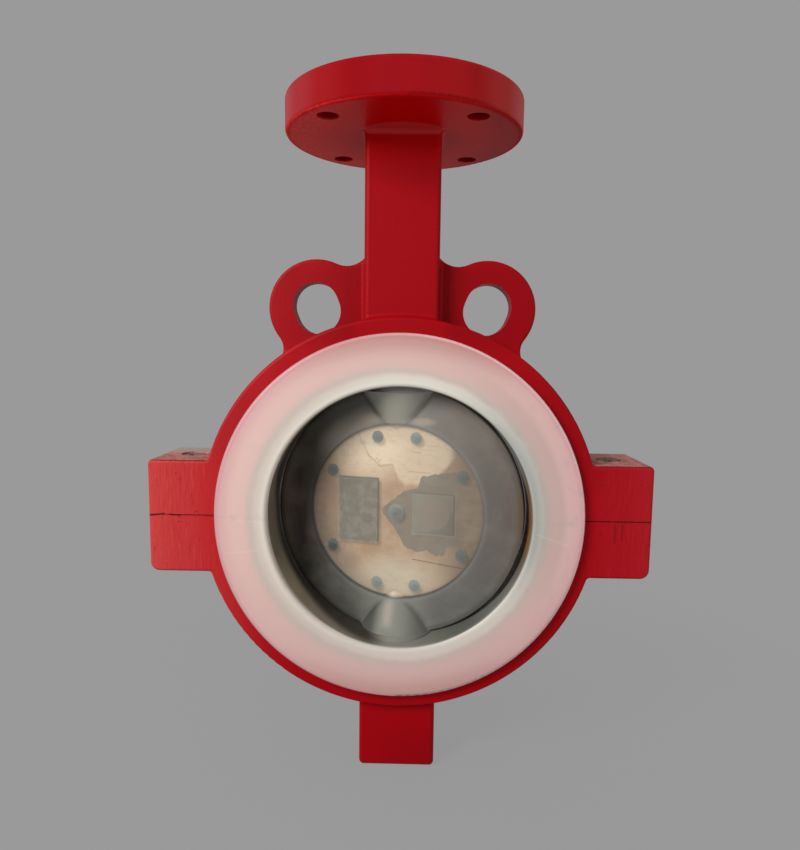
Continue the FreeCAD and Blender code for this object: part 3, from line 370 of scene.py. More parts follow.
def red_with_painted_light(paint, shaft):
    """Base red with painted light: lighter and pinker to the left, towards the lamp, deep below as painted shade, and a
    painted sheen on the flange's rim.
    """
    ease = paint.ease
    # Painted light: lighter and pinker towards the lamp at the left.
    tone = paint.tones(paint.x, -135, 135, (0.0, 192, 63, 61), (0.07, 186, 50, 52), (0.13, 182, 38, 41),
                       (0.3, 162, 18, 25), (0.43, 152, 7, 16), (0.6, 152, 6, 15), (0.86, 160, 6, 16),
                       (0.93, 166, 16, 27), (1.0, 170, 24, 33))
    # Painted sheen along the flange's rim.
    rim = paint.tones(paint.x, -FLANGE_RADIUS, FLANGE_RADIUS, (0.0, 158, 70, 74), (0.1, 146, 40, 45),
                      (0.2, 144, 17, 22), (0.32, 138, 3, 10), (0.45, 141, 10, 18), (0.55, 150, 12, 20),
                      (0.76, 164, 22, 24), (0.88, 182, 52, 50), (1.0, 190, 96, 93))
    on_rim = paint.both(ease(paint.z, FLANGE_UNDERSIDE - 1.0, FLANGE_UNDERSIDE + 1.0),
                        ease(shaft, FLANGE_RADIUS - 2.5, FLANGE_RADIUS - 0.5))
    # Painted shade: deeper, purer red below.
    tone = paint.wash(tone, ease(paint.z, -45, -105), 0.85, (157, 1, 11))
    return paint.mix(on_rim, tone, rim)


def flange_light_and_shade(paint, colour, shaft):
    """Painted light under the flange, which lies in shade: pure deep red near the neck and on the neck's top, mottled
    brick further out and darker to the right as painted shade, and a painted highlight on the neck's fillet.
    """
    both, ease, wash = paint.both, paint.ease, paint.wash
    under = both(ease(paint.z, FLANGE_UNDERSIDE + 1.2, FLANGE_UNDERSIDE + 0.4),
                 ease(paint.z, FLANGE_UNDERSIDE - 3.0, FLANGE_UNDERSIDE - 0.6))
    mottle = ease(paint.noise(1.5, detail=4), 0.35, 0.65)
    brick = paint.mix(mottle, (212, 20, 18), (232, 54, 48))
    front = paint.spot(paint.x, paint.y, (2, -38), (32, 34), soft=0.35)
    outer = both(ease(shaft, 30, 60), paint.less(1.0, front))
    # Painted shade: the brick darker to the right, away from the lamp.
    brick = wash(brick, ease(paint.x, 10, 50), 0.9, (166, 12, 12))
    # Painted light: the underside lies in shade, but is painted a bright, mottled red.
    colour = paint.mix(under, colour, paint.mix(outer, (202, 1, 3), brick))
    neck_top = both(ease(paint.z, 176, 197), ease(shaft, 32, 28))
    fillet = both(ease(paint.z, 197.0, 198.6), ease(shaft, 30, 27), ease(paint.y, -16.6, -17.2))
    # Painted light on the neck's top, and a painted highlight on the fillet under the flange.
    colour = wash(colour, neck_top, 0.85, (192, 3, 6))
    return wash(colour, fillet, 0.6, (206, 62, 62))


def cast_shade(paint, side):
    """Places in shade: ears, the bottom block's right half, and the ring above both lugs."""
    x, z = paint.x, paint.z
    ears = paint.both(paint.ease(z, 84, 98), paint.ease(z, 140, 128), paint.ease(side, 20, 28))
    block = paint.both(paint.ease(z, -106, -140), paint.ease(x, -30, 10))
    return paint.either(ears, block, paint.spot(x, z, (90, 50), (26, 30), soft=0.6),
                        paint.spot(x, z, (-90, 52), (16, 26), soft=0.6))


print("ring radius %.1f mm, flange radius %.1f mm" % (RING_RADIUS, FLANGE_RADIUS))


# %% [markdown]
# The paint was brushed onto the lugs, where long strokes and small dents catch the light: their
# highlights, glints and shade are painted into the colour, lighter at the left. It was sprayed
# smoother on the ring. The lugs' top faces were machined afterwards, so only a dirty pink film is
# left there, with a painted highlight towards the back, and the split between the halves holds dirt.

# %% Lugs, dirt and relief
def brushed_lugs(paint, colour, lug, left, strokes, dents):
    """Painted highlights on the strokes, pinker at the left, painted shade in the troughs and dents, and painted glints
    at the left.
    """
    both, ease = paint.both, paint.ease
    light = both(lug, ease(strokes, 0.54, 0.72))
    trough = both(lug, ease(strokes, 0.45, 0.3))
    glints = both(lug, left, ease(paint.noise(1.7, detail=3, shift=19.0), 0.7, 0.78))
    # Painted light on the brushed relief: highlights and glints, pinker towards the lamp at the left, and shade in
    # troughs and dents.
    return paint.layers(colour, [
        (both(light, left), 0.35, (204, 84, 80)),
        (light, 0.16, (186, 44, 48)),
        (trough, 0.25, (146, 10, 18)),
        (dents, 0.25, (150, 14, 22)),
        (glints, 0.5, (226, 112, 92))])


def lug_tops(paint, colour, reach, side, left):
    """Dirty film with a dark border on the machined tops, and a painted highlight towards the back, grey-white at the
    left: gives the colour and the film's mask.
    """
    both, ease, wash = paint.both, paint.ease, paint.wash
    edge = paint.plus(paint.y, paint.ragged(3.0, 0.5))
    top = both(ease(reach, RING_RADIUS - 0.3, RING_RADIUS + 1.0), ease(paint.z, LUG_TOP - 1.1, LUG_TOP - 0.5),
               ease(side, LUG_INNER, LUG_INNER + 2))
    bare = both(top, ease(edge, -RING_FACE + 0.9, -RING_FACE + 1.5))
    further = ease(paint.y, -6, 14)
    film_with_highlight = paint.mix(ease(paint.noise(4, detail=6), 0.35, 0.65), (154, 92, 84), (184, 126, 116))
    border = both(top, ease(paint.away(edge, -RING_FACE + 1.0), 0.8, 0.2))
    # Painted highlight: the film lighter towards the back, grey-white at the left lug.
    film_with_highlight = paint.layers(film_with_highlight, [
        (further, 0.35, (200, 160, 152)),
        (both(left, further), 0.75, (164, 154, 150)),
        (ease(paint.noise(1.4, detail=4), 0.56, 0.68), 0.4, (124, 66, 62))])
    return wash(paint.mix(bare, colour, film_with_highlight), border, 0.75, (92, 30, 28)), bare


def split_marks(paint, colour, lug):
    """Chips and dirt along the split, dashes at the right with two dirty runs, and a painted highlight along a ridge.
    """
    both, ease = paint.both, paint.ease
    x, z = paint.x, paint.z
    frayed = paint.plus(z, paint.ragged(2.4, 0.5))
    chips = paint.either(paint.line(x, frayed, (-136.0, -0.9), (-124.5, 0.6), 0.8),
                         paint.line(x, frayed, (-123.4, 0.3), (-116.0, -0.7), 0.65))
    faint = both(paint.line(x, frayed, (-117.0, -0.6), (-103.5, -0.45), 0.5), 0.4)
    ring_part = both(paint.line(x, z, (-104.5, -0.45), (-96.0, -0.6), 0.42), 0.7)
    dashes = ease(paint.noise(2.4, detail=3, stretch=(2, 1, 1), shift=3.0), 0.4, 0.52)
    thin = both(ease(x, 96, 98), dashes, ease(paint.size(frayed), 0.65, 0.25))
    runs = paint.either(paint.line(x, z, (114.2, -1.0), (114.6, -12.0), 1.1),
                        paint.line(x, z, (118.4, -1.0), (118.2, -11.0), 0.9))
    # Painted highlight along a ridge at the root of the lower left lug.
    ridge = both(paint.line(x, z, (-99.3, -29.0), (-98.8, -2.0), 0.7), lug)
    return paint.layers(colour, [
        (paint.either(chips, faint, ring_part), 0.85, (84, 28, 22)),
        (thin, 0.7, (96, 30, 22)),
        (runs, 0.45, (98, 22, 18)),
        (ridge, 0.5, (206, 66, 68))])


def red_paint():
    """Paint colour by place with painted light and shade, bare lug tops, dirt and chips at the split, and the brush's
    relief.
    """
    paint = Finish("red_paint")
    both, ease = paint.both, paint.ease
    reach, shaft = paint.length(paint.x, paint.z), paint.length(paint.x, paint.y)
    side = paint.size(paint.x)
    left = ease(paint.x, -40, -125)
    lug = both(ease(reach, RING_RADIUS - 7, RING_RADIUS + 3), ease(side, LUG_INNER, LUG_INNER + 2))
    strokes = paint.noise(1.3, detail=4, stretch=(1, 1, 9), warp=0.6)
    dents = both(lug, ease(paint.noise(3.4, detail=3, shift=7.0), 0.66, 0.74))

    colour = flange_light_and_shade(paint, red_with_painted_light(paint, shaft), shaft)
    colour = paint.wash(colour, cast_shade(paint, side), 0.22, (84, 0, 8))
    colour = brushed_lugs(paint, colour, lug, left, strokes, dents)
    colour, bare = lug_tops(paint, colour, reach, side, left)
    colour = split_marks(paint, colour, lug)
    colour = paint.wash(colour, paint.specks(14, 0.26), 0.5, (80, 12, 14))

    peel = paint.noise(1.5, detail=3)
    relief = paint.plus(paint.both(peel, 0.5), both(lug, paint.both(strokes, 2.2)))
    relief = paint.less(relief, paint.both(dents, 1.4))
    rim = both(ease(paint.z, FLANGE_UNDERSIDE - 1, FLANGE_UNDERSIDE + 1),
               ease(shaft, FLANGE_RADIUS - 3.5, FLANGE_RADIUS - 1.5))
    roughness = paint.plus(0.42, paint.either(both(bare, 0.25), both(rim, 0.4)))
    return paint.set(Base_Color=colour, Roughness=roughness, Normal=paint.bump(relief, 0.2), Specular_IOR_Level=0.07)


paint_material = red_paint()
print("paint nodes:", len(paint_material.node_tree.nodes))


# %% [markdown]
# The liner is milky plastic about five millimetres thick. Its flares lie on the red ring, so the
# red shines through and turns them pink, deeper towards the thin rim. Round the bore the backing
# is pale and the plastic looks white. The pink is a colour read along the distance from the pipe
# axis. Fainter washes over it are painted light and shade, lighter at the left and darker below
# and at the right, and others follow the marks that handling left.

# %% The liner's flare and lip
BORE_RADIUS, FLARE_RADIUS = 69.8, 97.6


def flare_tone(liner, reach, wavy, left, height):
    """White round the bore, then pink; deeper at the rim, browner at top and bottom, painted light at the left and
    painted shade below.
    """
    ease = liner.ease
    colour = liner.tones(wavy, BORE_RADIUS, FLARE_RADIUS, (0.0, 224, 220, 208), (0.18, 217, 212, 199),
                         (0.31, 206, 184, 174), (0.42, 214, 181, 174), (0.6, 216, 180, 174), (0.85, 214, 174, 170),
                         (0.95, 210, 160, 160), (1.0, 206, 146, 148))
    ends = liner.both(ease(reach, 82, 96), ease(height, 66, 92))
    left_rim = liner.both(left, ease(reach, 88, 96), ease(liner.z, -70, 20))
    return liner.layers(colour, [
        (ends, 0.5, (170, 112, 98)),
        (left_rim, 0.55, (196, 132, 148)),
        # Painted light: lighter at the left, towards the lamp.
        (left, 0.3, (228, 194, 180)),
        # Painted shade: darker below.
        (ease(liner.z, 10, -90), 0.3, (184, 152, 150))])


def lip_tone(liner, colour, reach, wavy):
    """A faint line where the lip meets the flare, and painted shade: grey at the right, partly smudges, a warmer one at
    the left, and darker beyond the right lip and on the lip's rounding below.
    """
    both, ease, wash = liner.both, liner.ease, liner.wash
    x, z = liner.x, liner.z
    right_lip = both(ease(x, 15, 78), ease(z, -60, -8))
    shaded = both(right_lip, ease(reach, 79, 76), liner.scaled(reach, 72, 76, 0.85, 0.5))
    colour = wash(colour, ease(liner.away(wavy, 78.8), 1.4, 0.3), 0.22, (186, 188, 178))
    # Painted shade, partly smudges, grey at the right side of the lip.
    colour = liner.mix(shaded, colour, (150, 154, 150))
    left_lip = both(ease(x, 10, -50), ease(liner.away(reach, 77.0), 6.0, 1.5))
    beyond = both(right_lip, ease(liner.away(reach, 82), 8, 3))
    rounded = both(ease(reach, BORE_RADIUS + 2.6, BORE_RADIUS + 0.8), ease(z, -10, -50))
    # Painted shade at the left lip, on the flare beyond the right lip, and on the lip's rounding below.
    return liner.layers(colour, [
        (left_lip, 0.4, (186, 176, 166)),
        (beyond, 0.3, (156, 138, 132)),
        (rounded, 0.3, (150, 148, 140))])


def rim_and_marks(liner, colour, reach, left, height):
    """The thin rim's tones, grey patches, dirt where the halves meet, pale flow lines and specks."""
    both, ease = liner.both, liner.ease
    x, z = liner.x, liner.z
    rim_line = both(ease(liner.away(reach, 95.7), 0.5, 0.1), left)
    rim_tone = liner.mix(ease(x, -50, 50), (172, 124, 124), (244, 214, 212))
    patch = ease(liner.noise(7, detail=5), 0.52, 0.72)
    right_rim = both(ease(x, 30, 95), ease(reach, 84, 92))
    seam = both(ease(liner.plus(height, liner.ragged(5, 2.0)), 2.6, 0.6), ease(liner.noise(6, detail=4), 0.4, 0.7))
    flow = liner.either(liner.line(x, z, (-92, -19.5), (-74, -17.5), 0.7),
                        liner.line(x, z, (72, -6.0), (90, -12.5), 0.7), liner.line(x, z, (-95, -1.0), (-72, -2.0), 0.6))
    return liner.layers(colour, [
        (rim_line, 0.45, (186, 134, 150)),
        (ease(reach, 96.0, 96.8), 0.6, rim_tone),
        (both(patch, right_rim), 0.3, (168, 156, 164)),
        (seam, 0.25, (168, 156, 150)),
        (flow, 0.13, (238, 222, 212)),
        (liner.specks(8, 0.22), 0.6, (140, 96, 84))])


print("flare from %.1f to %.1f mm" % (BORE_RADIUS, FLARE_RADIUS))


# %% [markdown]
# Inside the bore the white liner is painted grey as painted shade, nearly black behind the disc's
# left half, and pale behind its right half as painted light, for light that comes through the
# plastic. In the photograph the lip is rounder than the solid's at the left, so the first
# millimetres of the wall keep the flare's pale colour there. Both zones end at an edge whose depth
# is read along the height. A little light travels under the surface, which softens the lip.

# %% The bore's wall and the whole liner
WALL_PALE_EDGE = [(-68, -27), (-50, -24.4), (-25, -23.2), (0, -23.2), (20, -25), (35, -26.8), (60, -28)]
WALL_SHADE_EDGE = [(-68, -24), (-60, -15), (-49, -7), (-35, -3), (-15, 0), (0, 1), (12, -6), (24, -15), (40, -18),
                   (60, -22)]


def bore_wall(liner, colour, reach, height):
    """The wall painted grey as shade from left to right, nearly black behind the disc's left half, with painted light
    and a painted brown glow behind its right half.
    """
    both, ease = liner.both, liner.ease
    x, y, z = liner.x, liner.y, liner.z
    band = liner.outline(z, WALL_PALE_EDGE)
    pale_band = both(ease(liner.less(y, band), 0.9, -0.9), ease(x, 12, -14))
    wall = both(ease(reach, BORE_RADIUS + 0.9, BORE_RADIUS + 0.2), liner.less(1.0, pale_band))
    # Painted shade: the white liner painted grey inside the bore.
    inside = liner.tones(x, -BORE_RADIUS, BORE_RADIUS, (0.0, 126, 116, 100), (0.09, 162, 150, 128),
                         (0.25, 142, 134, 118), (0.5, 136, 136, 128), (0.75, 96, 97, 91), (0.92, 118, 118, 112),
                         (1.0, 106, 92, 72))
    shade_line = liner.outline(z, WALL_SHADE_EDGE)
    deep = both(ease(liner.less(y, shade_line), -8, 4), ease(x, -4, -18))
    start = liner.scaled(z, -16, 4, -18.0, -23.0)
    above = liner.either(ease(z, -16, 4), ease(x, 40, 54))
    behind = both(ease(x, 6, 26), above, ease(liner.less(y, start), 0.0, 5.0))
    brown = both(ease(x, 55, 69), ease(height, 26, 8))
    # Painted shade behind the disc's left half; painted light and a painted brown glow behind its right half.
    inside = liner.layers(inside, [
        (deep, 0.92, (44, 37, 30)),
        (behind, 0.95, (226, 222, 214)),
        (brown, 0.85, (140, 100, 62)),
        (ease(liner.noise(9, detail=4), 0.3, 0.7), 0.2, (96, 92, 84))])
    return liner.mix(wall, colour, inside)


def milky_liner():
    """Liner colour by distance from the pipe axis with painted light and shade, its wall, and light under the surface.
    """
    liner = Finish("milky_liner")
    reach = liner.length(liner.x, liner.z)
    height = liner.size(liner.z)
    left = liner.ease(liner.x, -10, -90)
    soft = liner.noise(11, detail=3)
    wavy = liner.plus(reach, liner.both(liner.less(soft, 0.5), 3.0))
    colour = flare_tone(liner, reach, wavy, left, height)
    colour = lip_tone(liner, colour, reach, wavy)
    colour = rim_and_marks(liner, colour, reach, left, height)
    colour = bore_wall(liner, colour, reach, height)
    normal = liner.bump(liner.noise(2.2, detail=3), 0.03)
    return liner.set(Base_Color=colour, Roughness=liner.scaled(soft, 0.3, 0.7, 0.34, 0.46), Normal=normal,
                     Subsurface_Weight=0.12, Subsurface_Radius=(1.0, 0.7, 0.6), Subsurface_Scale=0.004,
                     Specular_IOR_Level=0.4)


liner_material = milky_liner()
print("liner nodes:", len(liner_material.node_tree.nodes))


# %% [markdown]
# The disc is metal with a thick see-through skin moulded over it, so the metal's flat middle shows
# warm and soft through the skin, and the sloping zone round it looks dark. The solid of the skin
# touches the metal everywhere, which a see-through material can't show well. So the skin is made
# again as one closed outer surface, with the metal inside it.
#
# Its form is a height over the disc's plane: the larger of a flat plate that slopes off towards
# the rim and of two cones that widen towards the ends of the shaft. A soft maximum rounds the
# joints between them, as a mould does. In the photograph the disc stands 13 degrees open, with its
# right side forwards, so the finished points are turned by that angle about the shaft.

# %% The disc's moulded skin
DISC_RADIUS, REST_TURN = 69.5, 13.2
PLATE_HALF, SHOULDER, SLOPE_END, SLOPE_HEIGHT, RIM_HEIGHT = 11.0, 50.0, 67.0, 8.6, 7.6
HUB_ROOT, HUB_ROOT_RADIUS, HUB_FACE, HUB_END_RADIUS = 47.5, 11.0, 67.0, 21.6
HUB_REACH, ROOT_DROP, SOFT_JOINT = 22.3, 0.4, 1.2
RIM_CROWDING = 1.35


def soft_max(first, second, blend):
    """Half of (sum plus the root of squared difference plus squared blend)."""
    return 0.5 * (first + second + np.sqrt((first - second) ** 2 + blend ** 2))


def skin_height(reach, along, across):
    """Plate height by distance from the middle, joined softly to a cone's half-circle section."""
    plate = np.interp(reach, [0, SHOULDER, SLOPE_END, DISC_RADIUS],
                      [PLATE_HALF, PLATE_HALF, SLOPE_HEIGHT, RIM_HEIGHT])
    rise = np.clip((np.abs(along) - HUB_ROOT) / (HUB_FACE - HUB_ROOT), 0, 1)
    radius = HUB_ROOT_RADIUS + rise * (HUB_END_RADIUS - HUB_ROOT_RADIUS)
    cone = np.sqrt(np.clip(radius ** 2 - across ** 2, 0, None)) - ROOT_DROP * (1 - rise)
    blend = SOFT_JOINT * np.clip((DISC_RADIUS - reach) / 6, 0.15, 1)
    return soft_max(plate, np.where(np.abs(along) > HUB_ROOT - 4, cone, 0), blend) - blend / 2


def ring_faces(rows, columns, flip=False):
    """Quads between rows of a grid whose columns close into a ring."""
    row, column = np.meshgrid(np.arange(rows - 1), np.arange(columns), indexing="ij")
    beside = (column + 1) % columns
    quads = np.stack([row * columns + column, row * columns + beside,
                      (row + 1) * columns + beside, (row + 1) * columns + column], axis=-1).reshape(-1, 4)
    return quads[:, ::-1] if flip else quads


def turned_to_rest(points):
    """Points turned about the shaft by the disc's opening: x' = x cos + y sin, y' = y cos - x sin."""
    turn = np.radians(REST_TURN)
    x, y, z = points.T
    return np.stack([x * np.cos(turn) + y * np.sin(turn), y * np.cos(turn) - x * np.sin(turn), z], axis=-1)


def skin_mesh(rows=90, columns=420):
    """Two height surfaces on a polar grid, back to back, closed by a rim strip and two poles."""
    share = np.linspace(0, 1, rows + 1)[1:]
    reach = DISC_RADIUS * (1 - (1 - share) ** RIM_CROWDING)
    angle = np.linspace(0, 2 * np.pi, columns, endpoint=False)
    r, a = np.meshgrid(reach, angle, indexing="ij")
    across, along = r * np.cos(a), r * np.sin(a)
    height = skin_height(r, along, across)
    along = np.where(np.abs(across) < HUB_REACH, np.clip(along, -HUB_FACE, HUB_FACE), along)
    front = np.stack([across, -height, along], axis=-1).reshape(-1, 3)
    back = np.stack([across, height, along], axis=-1).reshape(-1, 3)
    middles = np.array([[0, -PLATE_HALF, 0], [0, PLATE_HALF, 0]])
    points = turned_to_rest(np.concatenate([front, back, middles])) * MM
    count = rows * columns
    first = np.arange(columns)
    following = (first + 1) % columns
    rim = count - columns
    rim_strip = [rim + first, rim + following, count + rim + following, count + rim + first]
    quads = np.concatenate([
        ring_faces(rows, columns, flip=True),
        ring_faces(rows, columns) + count,
        np.stack(rim_strip, axis=-1)[:, ::-1],
    ])
    caps = np.concatenate([
        np.stack([first, following, np.full(columns, 2 * count)], axis=-1),
        np.stack([following, first, np.full(columns, 2 * count + 1)], axis=-1) + [count, count, 0],
    ])
    return points, quads.tolist() + caps.tolist()


def make_piece(name, points, faces, smooth=True):
    """A mesh object at the origin, with its faces turned outwards, shaded smooth or flat."""
    mesh = bpy.data.meshes.new(name)
    mesh.from_pydata(points.tolist(), [], faces)
    mesh.validate()
    if smooth:
        mesh.shade_smooth()
    piece = bpy.data.objects.new(name, mesh)
    bpy.context.scene.collection.objects.link(piece)
    return piece


disc_skin = make_piece("disc_skin", *skin_mesh())
print("skin faces:", len(disc_skin.data.polygons))


# %% [markdown]
# The plastic also fills what is hollow in the metal's face: nine round dimples, where the mould's
# pins held the disc, and two recesses. Short plugs stand in the dimples, and thin plates lie over
# the recesses. Both reach a hair over the metal, so that no edge of a hole shows.

# %% Plugs and plates
PIN_CIRCLE, PIN_TURNS = 42.8, (14.7, 59.7)
PIN_RADIUS, MIDDLE_PIN_RADIUS = 3.2, 4.3
PLUG_DEPTHS, PLATE_DEPTHS = (-8.08, -5.6), (-8.05, -7.98)
PLATES = ((-33.3, -9.9, 18.3), (10.2, 32.6, 11.2))


def prisms(outlines, depths):
    """Closed prisms, each an outline of (x, z) places carried from one depth to the other."""
    points, faces = [], []
    for outline in outlines:
        first, count = len(points), len(outline)
        for depth in depths:
            points.extend((x, depth, z) for x, z in outline)
        faces.append([first + step for step in range(count)])
        faces.append([first + count + step for step in reversed(range(count))])
        faces.extend((ring_faces(2, count, flip=True) + first).tolist())
    return turned_to_rest(np.array(points)) * MM, faces


def pin_circles(columns=48):
    """Circles at the middle and at eight places mirrored left and right, up and down."""
    near, far = (math.radians(turn) for turn in PIN_TURNS)
    places = [(0.0, 0.0, MIDDLE_PIN_RADIUS)]
    for turn in (near, far, math.pi - far, math.pi - near, math.pi + near, math.pi + far, -far, -near):
        places.append((PIN_CIRCLE * math.sin(turn), PIN_CIRCLE * math.cos(turn), PIN_RADIUS))
    angle = np.linspace(0, 2 * np.pi, columns, endpoint=False)
    return [np.stack([x + radius * np.cos(angle), z + radius * np.sin(angle)], axis=-1).tolist()
            for x, z, radius in places]


plates = [((left, -half), (right, -half), (right, half), (left, half)) for left, right, half in PLATES]
dimple_plugs = make_piece("dimple_plugs", *prisms(pin_circles(), PLUG_DEPTHS), smooth=False)
recess_fills = make_piece("recess_fills", *prisms(plates, PLATE_DEPTHS), smooth=False)
print("plug faces:", len(dimple_plugs.data.polygons), "plate faces:", len(recess_fills.data.polygons))


# %% [markdown]
# The skin's colour is grey and nearly closed over the slope and the hubs, and thin and clear over
# the flat middle. Over the slope and the hubs its grey carries painted light and shade: darkest at
# the left, where the lip shades the disc, with painted highlights on the hubs and painted shade in
# the creases at their foot. How much it hides is its alpha: the mask called cover below. It hides
# more over the pins' places and the recesses, where the plastic is thicker.

# %% The skin's finish
PLATEAU_RADIUS = 48.5
PANEL_MIDDLE, SEAT_MIDDLE = -21.6, 21.4


def slope_tone(skin, reach, cloud):
    """Grey from left to right as painted light and shade, darkest at the left where the lip shades the disc, with a
    pale patch at the upper left and darker ones below.
    """
    both, ease = skin.both, skin.ease
    x, z = skin.x, skin.z
    # Painted shade and light: darkest at the left, in the lip's shade.
    colour = skin.tones(x, -70, 70, (0.0, 92, 80, 64), (0.05, 90, 79, 64), (0.1, 74, 67, 57), (0.15, 80, 75, 66),
                        (0.29, 101, 99, 91), (0.46, 132, 132, 123), (0.56, 136, 136, 127), (0.72, 119, 115, 109),
                        (0.88, 106, 101, 95), (0.96, 104, 96, 87), (1.0, 104, 86, 66))
    upper_right = both(ease(z, 10, 60), ease(x, 0, 40))
    upper_left = both(ease(z, 18, 44), ease(x, -4, -16), ease(reach, 64, 52), ease(x, -52, -34))
    low_right = both(ease(z, -24, -50), ease(x, 12, 26))
    low_left = both(ease(skin.plus(x, z), -45, -90), ease(x, -12, -26), ease(x, -66, -52))
    return skin.layers(colour, [
        (upper_right, 0.35, (132, 118, 106)),
        (upper_left, 0.85, (176, 168, 154)),
        (ease(z, -20, -60), 0.2, (118, 124, 118)),
        (low_right, 0.4, (84, 84, 80)),
        (low_left, 0.55, (58, 57, 51)),
        (ease(cloud, 0.4, 0.7), 0.12, (160, 158, 148))])


def hub_shade(skin, colour, reach, side, height):
    """Hubs and the crease at their foot, where the cone's half width equals the plate's height, with painted light:
    lighter middles and a pale upper hub, painted shade on the lower one's left flank and in the crease, and a painted
    gleam.
    """
    both, ease = skin.both, skin.ease
    x, z = skin.x, skin.z
    cone = skin.scaled(height, HUB_ROOT, HUB_FACE, HUB_ROOT_RADIUS, HUB_END_RADIUS)
    plate = skin.scaled(reach, SHOULDER, SLOPE_END, PLATE_HALF, SLOPE_HEIGHT)
    squared = skin.less(skin.both(cone, cone), skin.both(plate, plate))
    foot = skin.calc("SQRT", skin.either(squared, 0.0))
    hub = both(ease(height, 47, 50), ease(skin.less(side, foot), 0.6, -0.6))
    hub_tone = skin.mix(ease(skin.away(x, 0), 15, 4), (104, 105, 96), (130, 130, 121))
    flank = both(hub, ease(z, 0, -10), ease(x, -6.5, -13))
    crease = both(ease(skin.away(side, foot), 3.6, 0.0), ease(height, 48, 54), ease(reach, 71, 62))
    gleam = both(ease(skin.away(x, -2.6), 5.0, 0.0), ease(z, -48, -53), ease(z, -66, -58))
    # Painted light and shade on the hubs: lighter middles, a pale upper hub, a dark flank, shade in the crease and a
    # gleam.
    return skin.layers(colour, [
        (hub, 0.8, hub_tone),
        (both(hub, ease(z, 0, 10)), 0.8, (184, 180, 167)),
        (flank, 0.75, (70, 71, 64)),
        (crease, 0.45, (70, 67, 58)),
        (gleam, 0.3, (196, 176, 156))])


def skin_edges(skin, colour, reach):
    """Smudges beside the upper hub, a pale line round the middle, and the rim painted light at the right, where it lies
    in deep shade, and painted shade at the left.
    """
    both, ease = skin.both, skin.ease
    x, z = skin.x, skin.z
    smudge = skin.either(skin.spot(x, z, (-15, 51.5), (7, 2.2), soft=0.5),
                         skin.spot(x, z, (15, 50.5), (6, 2.0), soft=0.5))
    edge = both(ease(skin.away(reach, PLATEAU_RADIUS + 1.2), 2.6, 0.0), ease(x, -44, -20))
    thickness = skin.size(skin.y)
    strip = both(ease(reach, DISC_RADIUS - 0.3, DISC_RADIUS - 0.1), ease(thickness, RIM_HEIGHT - 0.1, RIM_HEIGHT - 0.6),
                 ease(x, 0, 20))
    left_rim = both(ease(reach, DISC_RADIUS - 1.1, DISC_RADIUS - 0.2), ease(x, -10, -40))
    # Painted light on the rim strip at the right, which lies in deep shade, and painted shade on the rim at the left.
    return skin.layers(colour, [
        (smudge, 0.4, (196, 172, 150)),
        (edge, 0.22, (146, 148, 142)),
        (strip, 0.6, (176, 170, 158)),
        (left_rim, 0.8, (38, 34, 28))])


def pin_places(skin):
    """Mask of the nine pins, by distance from the shaft and from the disc's level line."""
    x, z = skin.less(skin.x, 0.5), skin.plus(skin.z, 0.9)
    side, height = skin.size(x), skin.size(z)
    return skin.either(skin.spot(side, height, (10.9, 41.4), (3.1, 3.1), soft=0.34),
                       skin.spot(side, height, (36.9, 21.7), (3.1, 3.1), soft=0.3),
                       skin.spot(x, z, (0, 0), (MIDDLE_PIN_RADIUS, MIDDLE_PIN_RADIUS), soft=0.26))


def clear_skin():
    """Grey cover over slope and hubs, a thin haze over the middle, more over pins and recesses."""
    skin = Finish("clear_skin", turn=REST_TURN)
    both, ease = skin.both, skin.ease
    x, z = skin.x, skin.z
    side, height = skin.size(x), skin.size(z)
    reach, cloud = skin.length(x, z), skin.noise(13, detail=4)
    colour = slope_tone(skin, reach, cloud)
    colour = hub_shade(skin, colour, reach, side, height)
    colour = skin_edges(skin, colour, reach)
    middle = ease(reach, PLATEAU_RADIUS + 0.6, PLATEAU_RADIUS - 1.2)
    middle_tone = skin.mix(ease(x, 12, 44), (176, 172, 160), (128, 120, 110))
    colour = skin.mix(middle, colour, middle_tone)

    pins = pin_places(skin)
    pin_tone = skin.mix(ease(height, 26, 36), (108, 115, 110), (134, 141, 135))
    lower_left = both(ease(x, -20, -30), ease(z, 8, -8))
    pin_tone = skin.mix(lower_left, pin_tone, (82, 90, 86))
    colour = skin.mix(pins, colour, skin.mix(ease(reach, 6, 10), (130, 134, 127), pin_tone))
    panel = both(ease(skin.away(x, PANEL_MIDDLE), 12.4, 11.2), ease(skin.away(z, -0.3), 19.0, 17.8))
    seat = both(ease(skin.away(x, SEAT_MIDDLE), 12.2, 11.0), ease(height, 12.2, 11.0))
    blotches = ease(skin.noise(4.5, detail=4), 0.4, 0.65)
    colour = skin.wash(colour, panel, 0.8, skin.mix(blotches, (138, 131, 119), (160, 152, 138)))

    slope = both(ease(reach, PLATEAU_RADIUS - 1.2, PLATEAU_RADIUS + 1.6), 0.93)
    haze = skin.plus(skin.scaled(cloud, 0.3, 0.7, 0.1, 0.18), both(ease(x, 5, 48), 0.12))
    cover = skin.either(slope, haze, both(pins, 0.6), both(panel, 0.6), both(seat, 0.35))
    roughness = skin.scaled(reach, 62, SLOPE_END, 0.46, 0.9)
    return skin.set(Base_Color=colour, Roughness=roughness, Normal=skin.bump(skin.noise(5, detail=2), 0.04),
                    Alpha=cover, Specular_IOR_Level=0.2)


